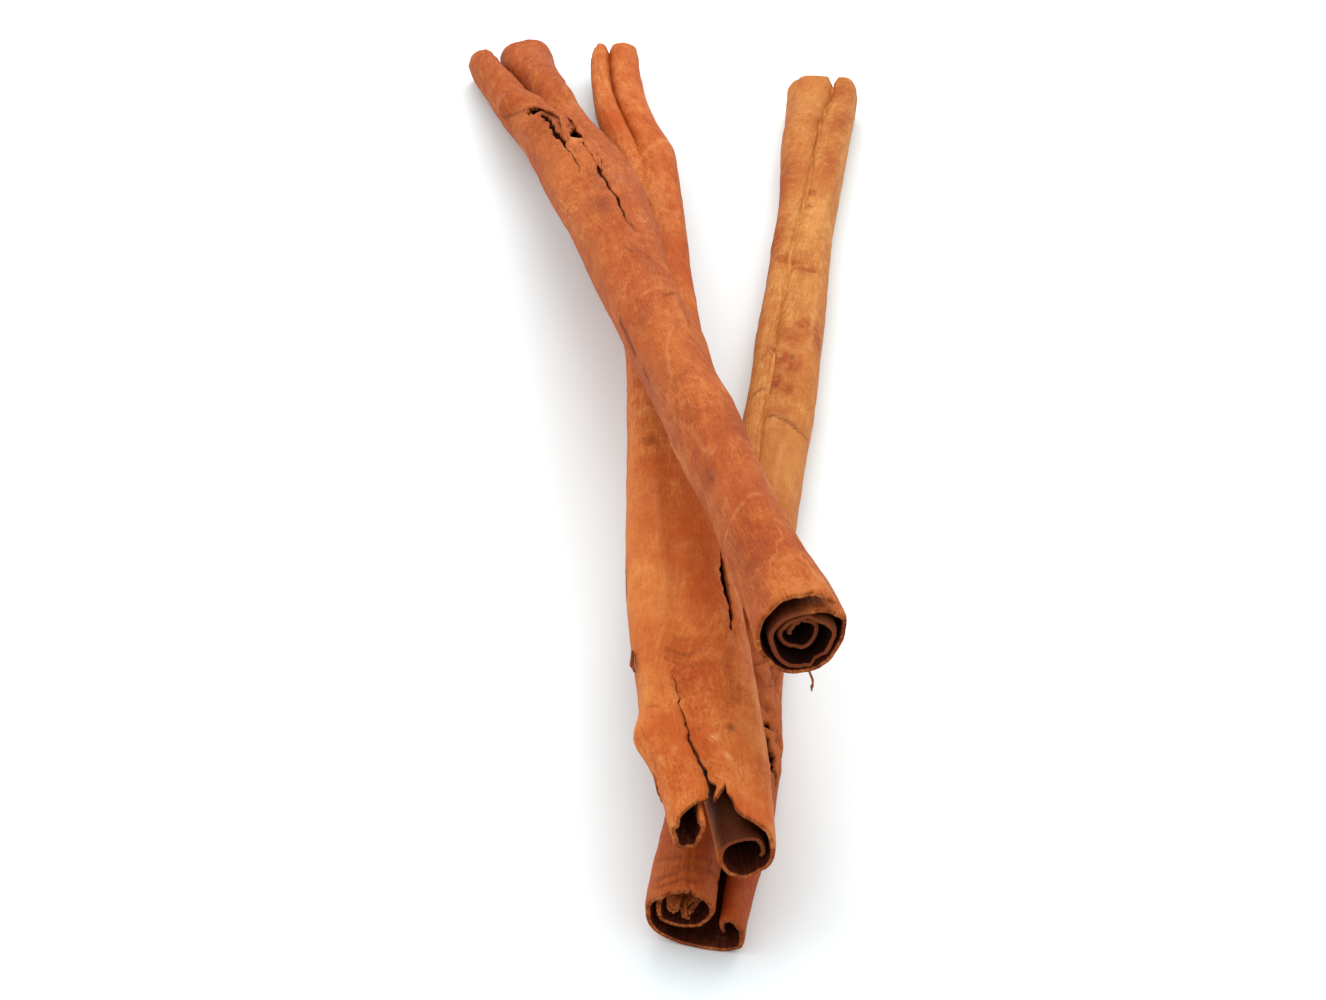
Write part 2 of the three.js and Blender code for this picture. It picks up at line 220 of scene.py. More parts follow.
def brokenDepth(edge, turn, seed):  # how far an end is broken back, jagged like snapped bark
    turns, depths = np.array(edge).T
    jags, teeth, splinters = (
        softNoise(turn[:, None], (size,), seed + draw) for draw, size in enumerate(brokenEnd["sizes"])
    )
    jagged = brokenEnd["jag"] * jags + brokenEnd["tooth"] * teeth
    splinters = brokenEnd["splinter"] * np.maximum(0, splinters - brokenEnd["splinterLevel"])
    return np.maximum(0, np.interp(turn, turns, depths) + jagged + splinters)


def endDepths(stick, around):  # where the two broken ends are, as shares of the stick's length
    (farFirst, nearFirst), (farLast, nearLast) = turnRange(stick, np.array([0.0, 1.0]))
    farTurn = farFirst + (farLast - farFirst) * around
    nearTurn = nearFirst + (nearLast - nearFirst) * around
    length = stick["farY"] - stick["nearY"]
    start = brokenDepth(stick["farEdge"], farTurn, stick["seed"]) / length
    return start, 1 - brokenDepth(stick["nearEdge"], nearTurn, stick["seed"] + brokenEnd["nearDraw"]) / length


# The mesh of a sheet starts as a flat grid, with a column for each place round the roll and
# a row for each place along it. Cracks are split open and holes torn before it is rolled up.


def stopsAlong(length, stepAt, edges):
    stops = [0.0]
    while stops[-1] < length:
        here = stops[-1]
        nearest = min(abs(here - edge) for edge in [0, length] + edges)
        crowding = sheet["edgeShare"] + (1 - sheet["edgeShare"]) * min(1, nearest / sheet["edgeReach"])
        stops.append(here + stepAt(here) * crowding)
    return np.array(stops) * length / stops[-1]


def unrolled(stick):  # arc lengths round the middle of the stick, against turns
    first, last = turnRange(stick, np.array([0.5]))
    turns = np.linspace(first[0], last[0], sheet["arcSteps"])
    place = sheetPlace(stick, turns, np.full(turns.size, 0.5), 0)
    steps = np.linalg.norm(np.diff(place, axis=0), axis=1)
    return turns, np.concatenate([[0], np.cumsum(steps)])


def arcAt(stick, turn, length):  # the mesh column, as an arc, that passes through a turn here
    turns, arcs = stick["layout"]["turns"], stick["layout"]["arcs"]
    first, last = turnRange(stick, np.array([length / stick["layout"]["length"]]))
    share = (turn - first[0]) / (last[0] - first[0])
    return float(np.interp(turns[0] + share * (turns[-1] - turns[0]), turns, arcs))


def layOut(stick):  # the columns and rows of a stick's flat grid
    turns, arcs = unrolled(stick)
    length = stick["farY"] - stick["nearY"]
    stick["layout"] = {"turns": turns, "arcs": arcs, "length": length}
    shownFrom, shownTo = np.interp(stick["shown"], turns, arcs)
    for crack in stick["cracks"]:
        places = np.linspace(crack["from"], crack["to"], len(crack["turns"])) * length
        crack["meanArc"] = np.mean([arcAt(stick, turn, place) for turn, place in zip(crack["turns"], places)])

    def stepAt(arc):
        if shownFrom <= arc <= shownTo:
            return sheet["shownStep"]
        inward = np.clip((arc - shownTo) / (arcs[-1] - shownTo), 0, 1)
        return sheet["hiddenStep"] + (sheet["innerStep"] - sheet["hiddenStep"]) * inward

    columnArcs = stopsAlong(arcs[-1], stepAt, [crack["meanArc"] for crack in stick["cracks"]])
    stick["layout"]["columnArcs"] = columnArcs
    stick["layout"]["columnTurns"] = np.interp(columnArcs, arcs, turns)
    stick["layout"]["rowLengths"] = stopsAlong(length, lambda place: stick["rowStep"], [])


def shareRound(layout, turn):  # from 0 at the left rolled edge to 1 at the right one
    turns = layout["turns"]
    return (turn - turns[0]) / (turns[-1] - turns[0])


def rowPlaces(stick, column):  # the place along the stick of each row, in one column
    layout = stick["layout"]
    start, end = endDepths(stick, np.array([shareRound(layout, layout["columnTurns"][column])]))
    return start * layout["length"] + (end - start) * layout["rowLengths"]


def splitCrack(bark, column, low, high):
    near, apart = 0.3, 0.01  # in steps of the grid
    low, high = low - near, high + near
    edges = [
        edge for edge in bark.edges
        if all(abs(vert.co.x - column) < near and low < vert.co.y < high for vert in edge.verts)
    ]
    bmesh.ops.split_edges(bark, edges=edges)
    for vert in bark.verts:
        if abs(vert.co.x - column) < apart / 10 and low < vert.co.y < high:
            sides = [face.calc_center_median().x - column for face in vert.link_faces]
            if max(sides) < 0 or min(sides) > 0:
                vert.co.x += math.copysign(apart, sum(sides))


crackShape = {
    "jags": ((0.012, 0.016), (0.006, 0.006)),  # in quarter turns, and in shares of the length
    "uneven": 0.3,
    "unevenSize": 0.008,
    "seed": 61,
    "endFade": 0.5,  # how far past its ends a crack still bends the columns, in its lengths
    "gapeReach": 1.3,
}


def crackShift(crack, columnTurn, offset, turn, v):  # bends the columns along a crack and opens it
    share = (v - crack["from"]) / (crack["to"] - crack["from"])
    within = np.clip(share, 0, 1)
    path = splineValue(crack["turns"], within * (len(crack["turns"]) - 1))
    (jag, jagSize), (tooth, toothSize) = crackShape["jags"]
    jagged = jag * softNoise(v[:, None], (jagSize,), crackShape["seed"])
    jagged += tooth * softNoise(v[:, None], (toothSize,), crackShape["seed"] + 1)
    path += crack["jag"] * jagged
    width = splineValue(crack["widths"], within * (len(crack["widths"]) - 1))
    uneven = softNoise(v[:, None], (crackShape["unevenSize"],), crackShape["seed"] + 2)
    width *= 1 + crackShape["uneven"] * uneven
    ends = hill((np.abs(share - 0.5) - 0.5).clip(0) / crackShape["endFade"])
    bend = (path - columnTurn) * hill(offset / crack["bendReach"]) * ends
    inside = (share > 0) & (share < 1)
    gape = np.sign(offset) * 0.5 * width * inside * np.exp(-np.abs(offset) / crackShape["gapeReach"])
    return turn + bend + gape * crack["turnsPerMillimetre"]


tornRim = {"lobes": 3, "lobeDepth": 0.12, "jagDepth": 0.1, "jagRates": (4, 3)}


def tearHole(bark, hole, columnArcs, rowLengths):
    doomed = []
    for face in bark.faces:
        middle = face.calc_center_median()
        arc = np.interp(middle.x, np.arange(len(columnArcs)), columnArcs)
        length = np.interp(middle.y, np.arange(len(rowLengths)), rowLengths)
        across = (arc - hole["arc"] - hole["slant"] * (length - hole["length"])) / hole["across"]
        along = (length - hole["length"]) / hole["along"]
        lobes = tornRim["lobeDepth"] * math.sin(tornRim["lobes"] * math.atan2(along, across))
        jags = math.sin(tornRim["jagRates"][0] * arc + tornRim["jagRates"][1] * length)
        if math.hypot(across, along) < 1 + (lobes + tornRim["jagDepth"] * jags):
            doomed.append(face)
    bmesh.ops.delete(bark, geom=doomed, context="FACES")


def tearGrid(stick, bark):  # splits the cracks open and tears the holes
    layout = stick["layout"]
    turns, arcs, columnArcs = layout["turns"], layout["arcs"], layout["columnArcs"]
    rows = np.arange(len(layout["rowLengths"]))
    for crack in stick["cracks"]:
        column = int(np.abs(columnArcs - crack["meanArc"]).argmin())
        crack["arc"] = columnArcs[column]
        crack["shareRound"] = shareRound(layout, layout["columnTurns"][column])
        crack["turnsPerMillimetre"] = np.interp(crack["meanArc"], arcs, np.gradient(turns, arcs))
        places = rowPlaces(stick, column)
        low, high = (round(np.interp(crack[end] * layout["length"], places, rows)) for end in ("from", "to"))
        splitCrack(bark, column, low, high)
    for hole in stick["holes"]:
        hole["arc"] = arcAt(stick, hole["turn"], hole["length"])
        column = int(np.abs(columnArcs - hole["arc"]).argmin())
        tearHole(bark, hole, columnArcs, rowPlaces(stick, column))
    loose = [vert for vert in bark.verts if not vert.link_faces]
    bmesh.ops.delete(bark, geom=loose, context="VERTS")


# What lies on the bark: drawn lines, soft round patches, and the relief that goes with them.


def linePull(stick, kind, surface):  # how near each place is to a drawn line, from 0 to 1
    pull = np.zeros(len(surface))
    for line in stick[kind]:
        points = np.array([(arcAt(stick, turn, length), length) for turn, length in line["path"]])
        distance = np.full(len(surface), np.inf)
        for a, b in zip(points[:-1], points[1:]):
            share = np.clip((surface - a) @ (b - a) / ((b - a) @ (b - a)), 0, 1)
            gap = surface - (a + share[:, None] * (b - a))
            distance = np.minimum(distance, np.hypot(gap[:, 0], gap[:, 1]))
        pull = np.maximum(pull, line["strength"] * hill(distance / line["width"]))
    return pull


def patchPull(stick, kind, surface):  # how strongly a patch tells at each place
    pull = np.zeros(len(surface))
    for turn, length, across, along, strength in stick[kind]:
        offset = (surface - (arcAt(stick, turn, length), length)) / (across, along)
        pull = np.maximum(pull, strength * np.exp(-(offset ** 2).sum(axis=1)))
    return pull


barkRelief = {
    "bends": {"sizes": (8, 16, 8), "draw": 20, "waves": 26},
    "ridges": {"height": 0.045, "sizes": (1.3, 26), "draw": 21, "waves": 26},
    "grain": {"height": 0.022, "sizes": (0.9, 2.4), "draw": 22, "waves": 40},
    "creases": {"depth": 0.4, "sizes": (1.5, 2.1), "draw": 23, "waves": 40, "sharpness": 0.8},
    "crumples": {"height": 0.25, "sizes": (1.6, 2.6), "draw": 24, "waves": 26},
    "scarDepth": 0.12,
    "veinHeight": 0.1,
    "creaseShade": 0.8,
}


def barkNoise(stick, layer, points):
    return softNoise(points, layer["sizes"], stick["seed"] + layer["draw"], layer["waves"])


def barkMarks(stick, surface):  # how strongly each kind of mark tells at each place
    layer = barkRelief["creases"]
    net = hill(barkNoise(stick, layer, surface) / layer["sharpness"])  # a net of sharp folds
    crumpled = patchPull(stick, "crumples", surface)
    return {
        "crumples": crumpled,
        "creases": net * crumpled,
        "scars": linePull(stick, "scars", surface),
        "veins": linePull(stick, "veins", surface),
    }


def relief(stick, marks, centre, surface, turn, v):
    ridges, grain, crumples = (barkRelief[name] for name in ("ridges", "grain", "crumples"))
    lift = stick["undulation"] * barkNoise(stick, barkRelief["bends"], centre)
    lift += ridges["height"] * barkNoise(stick, ridges, surface)
    lift += grain["height"] * barkNoise(stick, grain, surface)
    for bump in stick["bumps"]:
        along, around = (v - bump["at"]) / bump["along"], (turn - bump["turn"]) / bump["around"]
        lift += bump["lift"] * np.exp(-(along ** 2 + around ** 2))
    lift -= barkRelief["creases"]["depth"] * marks["creases"]
    lift += crumples["height"] * barkNoise(stick, crumples, surface) * marks["crumples"]
    lift -= barkRelief["scarDepth"] * marks["scars"]
    return lift + barkRelief["veinHeight"] * marks["veins"]


def storeMarks(stick, marks, mesh, surface, turn, v):
    paintedShadeFrom = splineValue(stick["paintedShadeFrom"], v * (len(stick["paintedShadeFrom"]) - 1))
    stored = {
        "along": v,
        # inside: painted shade on the deep turns of the roll
        "inside": smoothStep((turn - paintedShadeFrom) / sheet["paintedShadeFade"]),
        # dark: scars, and painted shade in the creases
        "dark": np.maximum(marks["scars"], barkRelief["creaseShade"] * marks["creases"]),
        "pale": marks["veins"],
        "stain": patchPull(stick, "stains", surface),
        "bleachAndHighlight": patchPull(stick, "bleachesAndHighlights", surface),
    }
    for name, values in stored.items():
        mesh.attributes.new(name, "FLOAT", "POINT").data.foreach_set("value", values.astype(np.float32))


# From a flat grid to a piece


def meshFrom(bark, name):
    mesh = bpy.data.meshes.new(name)
    bark.to_mesh(mesh)
    bark.free()
    return mesh


def gridPlaces(mesh):
    grid = np.empty(len(mesh.vertices) * 3)
    mesh.vertices.foreach_get("co", grid)
    return grid.reshape(-1, 3)[:, 0], grid.reshape(-1, 3)[:, 1]


def shapeMesh(mesh, place, surface):  # places in millimetres, with the bark's own map
    place[:, :2] -= sheet["middle"]
    mesh.vertices.foreach_set("co", (place * millimetre).ravel())
    mesh.update()
    corners = np.empty(len(mesh.loops), int)
    mesh.loops.foreach_get("vertex_index", corners)
    mesh.uv_layers.new(name="surface").data.foreach_set("uv", surface[corners].ravel())
    mesh.polygons.foreach_set("use_smooth", np.ones(len(mesh.polygons), bool))


def newPiece(mesh, materials):
    for material in materials:
        mesh.materials.append(material)
    piece = bpy.data.objects.new(mesh.name, mesh)
    bpy.context.scene.collection.objects.link(piece)
    return piece


def addWall(piece, thickness):
    wall = piece.modifiers.new("wall", "SOLIDIFY")
    wall.thickness = thickness * millimetre
    wall.offset = 0
    return wall


def wearEdges(piece, wall, edgeGap):  # thins the wall towards its edges and cracks
    thin = piece.vertex_groups.new(name="thickness")
    worn = sheet["wornEdge"]
    levels = np.round(worn + (1 - worn) * smoothStep(edgeGap / sheet["wornReach"]), 2)
    for level in np.unique(levels):
        thin.add(np.flatnonzero(levels == level).tolist(), float(level), "REPLACE")
    wall.vertex_group = thin.name


def makeSheet(name, stick, materials):
    stick["fit"] = fitTable(stick)
    layOut(stick)
    layout = stick["layout"]
    length, lastArc = layout["length"], layout["arcs"][-1]
    columns, rows = len(layout["columnArcs"]), len(layout["rowLengths"])

    bark = bmesh.new()
    bmesh.ops.create_grid(bark, x_segments=columns - 1, y_segments=rows - 1, size=0.5)
    bmesh.ops.translate(bark, vec=(0.5, 0.5, 0), verts=bark.verts)
    bmesh.ops.scale(bark, vec=(columns - 1, rows - 1, 1), verts=bark.verts)
    tearGrid(stick, bark)
    if stick["curlsDown"]:
        bmesh.ops.reverse_faces(bark, faces=bark.faces)
    mesh = meshFrom(bark, name)

    column, row = gridPlaces(mesh)
    around = shareRound(layout, np.interp(column, np.arange(columns), layout["columnTurns"]))
    share = np.interp(row, np.arange(rows), layout["rowLengths"]) / length
    arc = np.interp(column, np.arange(columns), layout["columnArcs"])
    start, end = endDepths(stick, around)
    v = start + (end - start) * share
    first, last = turnRange(stick, v)
    turn = first + (last - first) * around
    edgeGap = np.minimum.reduce([arc, lastArc - arc, share * length, (1 - share) * length])
    for crack in stick["cracks"]:
        offset = arc - crack["arc"]
        turn = crackShift(crack, first + (last - first) * crack["shareRound"], offset, turn, v)
        near = (v > crack["from"]) & (v < crack["to"])
        edgeGap = np.where(near, np.minimum(edgeGap, np.abs(offset)), edgeGap)

    surface = np.stack([arc, v * length], axis=1)
    marks = barkMarks(stick, surface)
    centre = sheetPlace(stick, turn, v, 0)
    place = sheetPlace(stick, turn, v, relief(stick, marks, centre, surface, turn, v))
    place[:, 2] = np.maximum(sheet["thickness"] / 2, place[:, 2])
    shapeMesh(mesh, place, surface)
    storeMarks(stick, marks, mesh, surface, turn, v)
    piece = newPiece(mesh, materials)
    wall = addWall(piece, sheet["thickness"])
    wall.material_offset = 1
    wall.material_offset_rim = 2
    wearEdges(piece, wall, edgeGap)
    print(f"{name}: {columns} by {rows} stations, {len(mesh.polygons)} faces")
    return piece


# Each stick. Windings give, at a share of the length, the height of the cross-section, the turns
# of its two rolled edges, and its two curls. Marks are placed by turn and by length from the far
# end.


def curl(x, corners, radii):  # its reach at every quarter turn, and how square it is between them
    return {"x": x, "corners": corners, "radii": radii}


topStick = {
    "seed": 100,
    "farY": 78.5,
    "nearY": -66.4,
    "sideways": [-19.83, -16.97, -12.6, -8.55, -5.54, -3.14, 0.15, 2.77, 6.07, 9.01, 11.98],
    "widths": [10.94, 9.56, 9.63, 10.78, 9.42, 8.01, 8.04, 6.79, 6.96, 6.87, 8.23],
    "farRise": -sheet["flatSpot"],
    "nearRise": 20.7,
    "arch": 0.8,
    "curlsDown": False,
    "edgeWander": 0.14,
    "windings": [
        {
            "at": 0, "height": 5.2, "turns": [-3.7, 7.1],
            "left": curl(-3.8, [2], [2.1, 1.8, 2.1, 1.7, 1.2, 1.0]),
            "right": curl(2.1, [2.2], [2.3, 3.5, 2.3, 3.4, 1.5, 2.6, 1.5, 2.5, 0.7, 1.7, 0.7]),
        },
        {
            "at": 0.1, "height": 5.6, "turns": [-3.2, 7.4],
            "left": curl(-2.67, [2], [2.5, 1.97, 2.5, 1.9, 1.6, 1.1]),
            "right": curl(2.37, [2.1], [2.5, 2.27, 2.5, 2.2, 1.55, 1.4, 1.6, 1.3, 0.7, 0.5, 0.7]),
        },
        {
            "at": 0.125, "height": 5.7, "turns": [-2.5, 7.6],
            "left": curl(-2.5, [2], [2.6, 2.1, 2.7, 2.0, 1.6, 1.1]),
            "right": curl(2.3, [2.1], [2.5, 2.4, 2.4, 2.2, 1.6, 1.5, 1.5, 1.3, 0.7, 0.6, 0.6]),
        },
        {
            "at": 0.16, "height": 5.9, "turns": [-2.35, 7.9],
            "left": curl(-1.9, [2], [2.7, 2.6, 3.25, 3.4, 2.9, 2.9]),
            "right": curl(2.0, [2.1], [2.5, 2.6, 1.85, 2.3, 1.55, 1.7, 1.0, 1.4, 0.6, 0.8, 0.25]),
        },
        {
            "at": 0.23, "height": 6.3, "turns": [-2.4, 8.3],
            "left": curl(-1.2, [2], [2.9, 3.3, 3.5, 4.2, 2.9, 2.9]),
            "right": curl(1.3, [2.1], [2.7, 3.1, 1.85, 2.7, 1.8, 2.2, 1.0, 1.8, 0.95, 1.4, 0.2]),
        },
        {
            "at": 0.42, "height": 7.0, "turns": [-2.5, 9.4],
            "left": curl(0, [2], [3.1, 4.1, 3.6, 4.5, 2.9, 2.9]),
            "right": curl(0, [2], [3.1, 3.75, 2.6, 3.2, 2.25, 2.9, 1.75, 2.35, 1.4, 2.0, 0.9]),
        },
        {
            "at": 1, "height": 8.1, "turns": [-2.36, 11.0],
            "left": curl(0, [2], [3.7, 3.8, 3.95, 4.2, 3.3, 3.3]),
            "right": curl(0, [2], [3.7, 3.8, 2.2, 2.6, 3.0, 2.65, 1.5, 1.7, 1.55, 1.3, 0.85]),
        },
    ],
    "farEdge": [(-3.9, 2.4), (-2.6, 2.9), (-1.5, 1.8), (-0.5, 0.6), (4, 0.4), (6.5, 1.6), (8, 1)],
    "nearEdge": [(-2.6, 0.5), (0, 0.5), (0.9, 1.6), (1.8, 0.4), (5, 0.4), (9, 1.6), (11, 1)],
    "bumps": [
        {"at": 0.19, "turn": 1.7, "along": 0.07, "around": 0.7, "lift": 0.5},
        {"at": 0.142, "turn": -1.3, "along": 0.014, "around": 0.45, "lift": 0.5},
    ],
    "undulation": 0.1,
    "rowStep": 0.53,
    "shown": [-4, 3.2],  # turns between which the bark shows, and then turns past which it is painted dark as shade deep in the roll
    "paintedShadeFrom": [3.1, 3.0, 1.9, 1.7, 1.7, 1.7, 1.7, 1.7, 1.7, 1.6, 1.6],  # at even steps along
    "cracks": [
        {
            "from": 0.276, "to": 0.476, "turns": [-2.24, -2.17, -2.08, -2.03, -2.02, -2.06, -2.14],
            "widths": [0.7, 0.55, 0.4, 0.14, 0.2, 0.12, 0.04], "bendReach": 4, "jag": 1,
        },
        {
            "from": 0.2, "to": 0.342, "turns": [-1.94, -1.9, -1.84, -1.8, -1.76, -1.72, -1.7],
            "widths": [0.7, 0.9, 0.7, 0.35, 0.1, 0.08, 0.03], "bendReach": 3, "jag": 0.3,
        },
    ],
    "holes": [
        {"turn": -1.88, "length": 27.4, "across": 1.3, "along": 0.95, "slant": -0.3},
        {"turn": -2.14, "length": 37.2, "across": 1.0, "along": 1.9, "slant": 0.2},
    ],
    "scars": [
        {"path": [(-1.9, 71.9), (-1.95, 73), (-2.0, 74.0)], "width": 0.32, "strength": 0.7},
        {"path": [(-2.12, 84.6), (-2.25, 84.0), (-2.36, 84.5)], "width": 0.28, "strength": 0.8},
        {"path": [(-1.82, 102.7), (-1.94, 102.0), (-2.02, 101.9)], "width": 0.26, "strength": 0.6},
        {"path": [(-1.18, 84.1), (-1.16, 88.3), (-1.12, 91.9)], "width": 0.34, "strength": 0.9},
        {"path": [(-1.14, 95.5), (-1.1, 98)], "width": 0.3, "strength": 0.8},
        {"path": [(-1.4, 119.2), (-1.42, 120.4), (-1.46, 121.4)], "width": 0.35, "strength": 0.4},
        {"path": [(-2.3, 66), (-2.24, 68.5)], "width": 0.3, "strength": 0.5},
        {"path": [(-1.6, 108), (-1.66, 109)], "width": 0.3, "strength": 0.5},
        {"path": [(-1.14, 21.9), (-1.44, 24.3), (-1.64, 25.7), (-1.8, 26.5)], "width": 0.45, "strength": 0.8},
    ],
    "veins": [
        {"path": [(-1.2, 129.9), (-1.5, 129.3), (-1.8, 128.0), (-2.1, 127.5)], "width": 0.3, "strength": 0.5},
        {"path": [(-1.7, 84), (-1.95, 83.3), (-2.2, 82.6), (-2.36, 83)], "width": 0.3, "strength": 0.6},
        {"path": [(-1.3, 108), (-1.5, 112), (-1.55, 117)], "width": 0.28, "strength": 0.4},
        {"path": [(-1.9, 93), (-1.7, 97), (-1.62, 102)], "width": 0.28, "strength": 0.4},
        {"path": [(-1.96, 29), (-2.1, 33), (-2.0, 37), (-1.92, 40)], "width": 0.6, "strength": 0.7},
    ],
    "stains": [  # turn, place along, half sizes round and along, strength
        (-1.82, 60, 1.1, 3.2, 0.8), (-1.95, 53, 1.2, 4, 0.5), (-1.42, 120.4, 0.8, 1.4, 0.7),
        (-1.2, 99, 1.2, 6, 0.35), (-2.2, 76, 1.0, 3, 0.5), (-2.0, 34, 1.5, 3, 0.6), (-1.6, 88, 1.4, 3, 0.4),
        (-2.4, 112, 1.2, 5, 0.4), (-1.5, 136, 1.8, 3, 0.35),
    ],
    "bleachesAndHighlights": [
        (-1.4, 44, 2, 6, 0.5), (-1.3, 72, 1.5, 9, 0.4), (-1.3, 96, 1.2, 6, 0.5), (-1.9, 96, 1.6, 8, 0.4),
    ],
    "crumples": [(-1.95, 33, 2.0, 6, 0.5)],
}

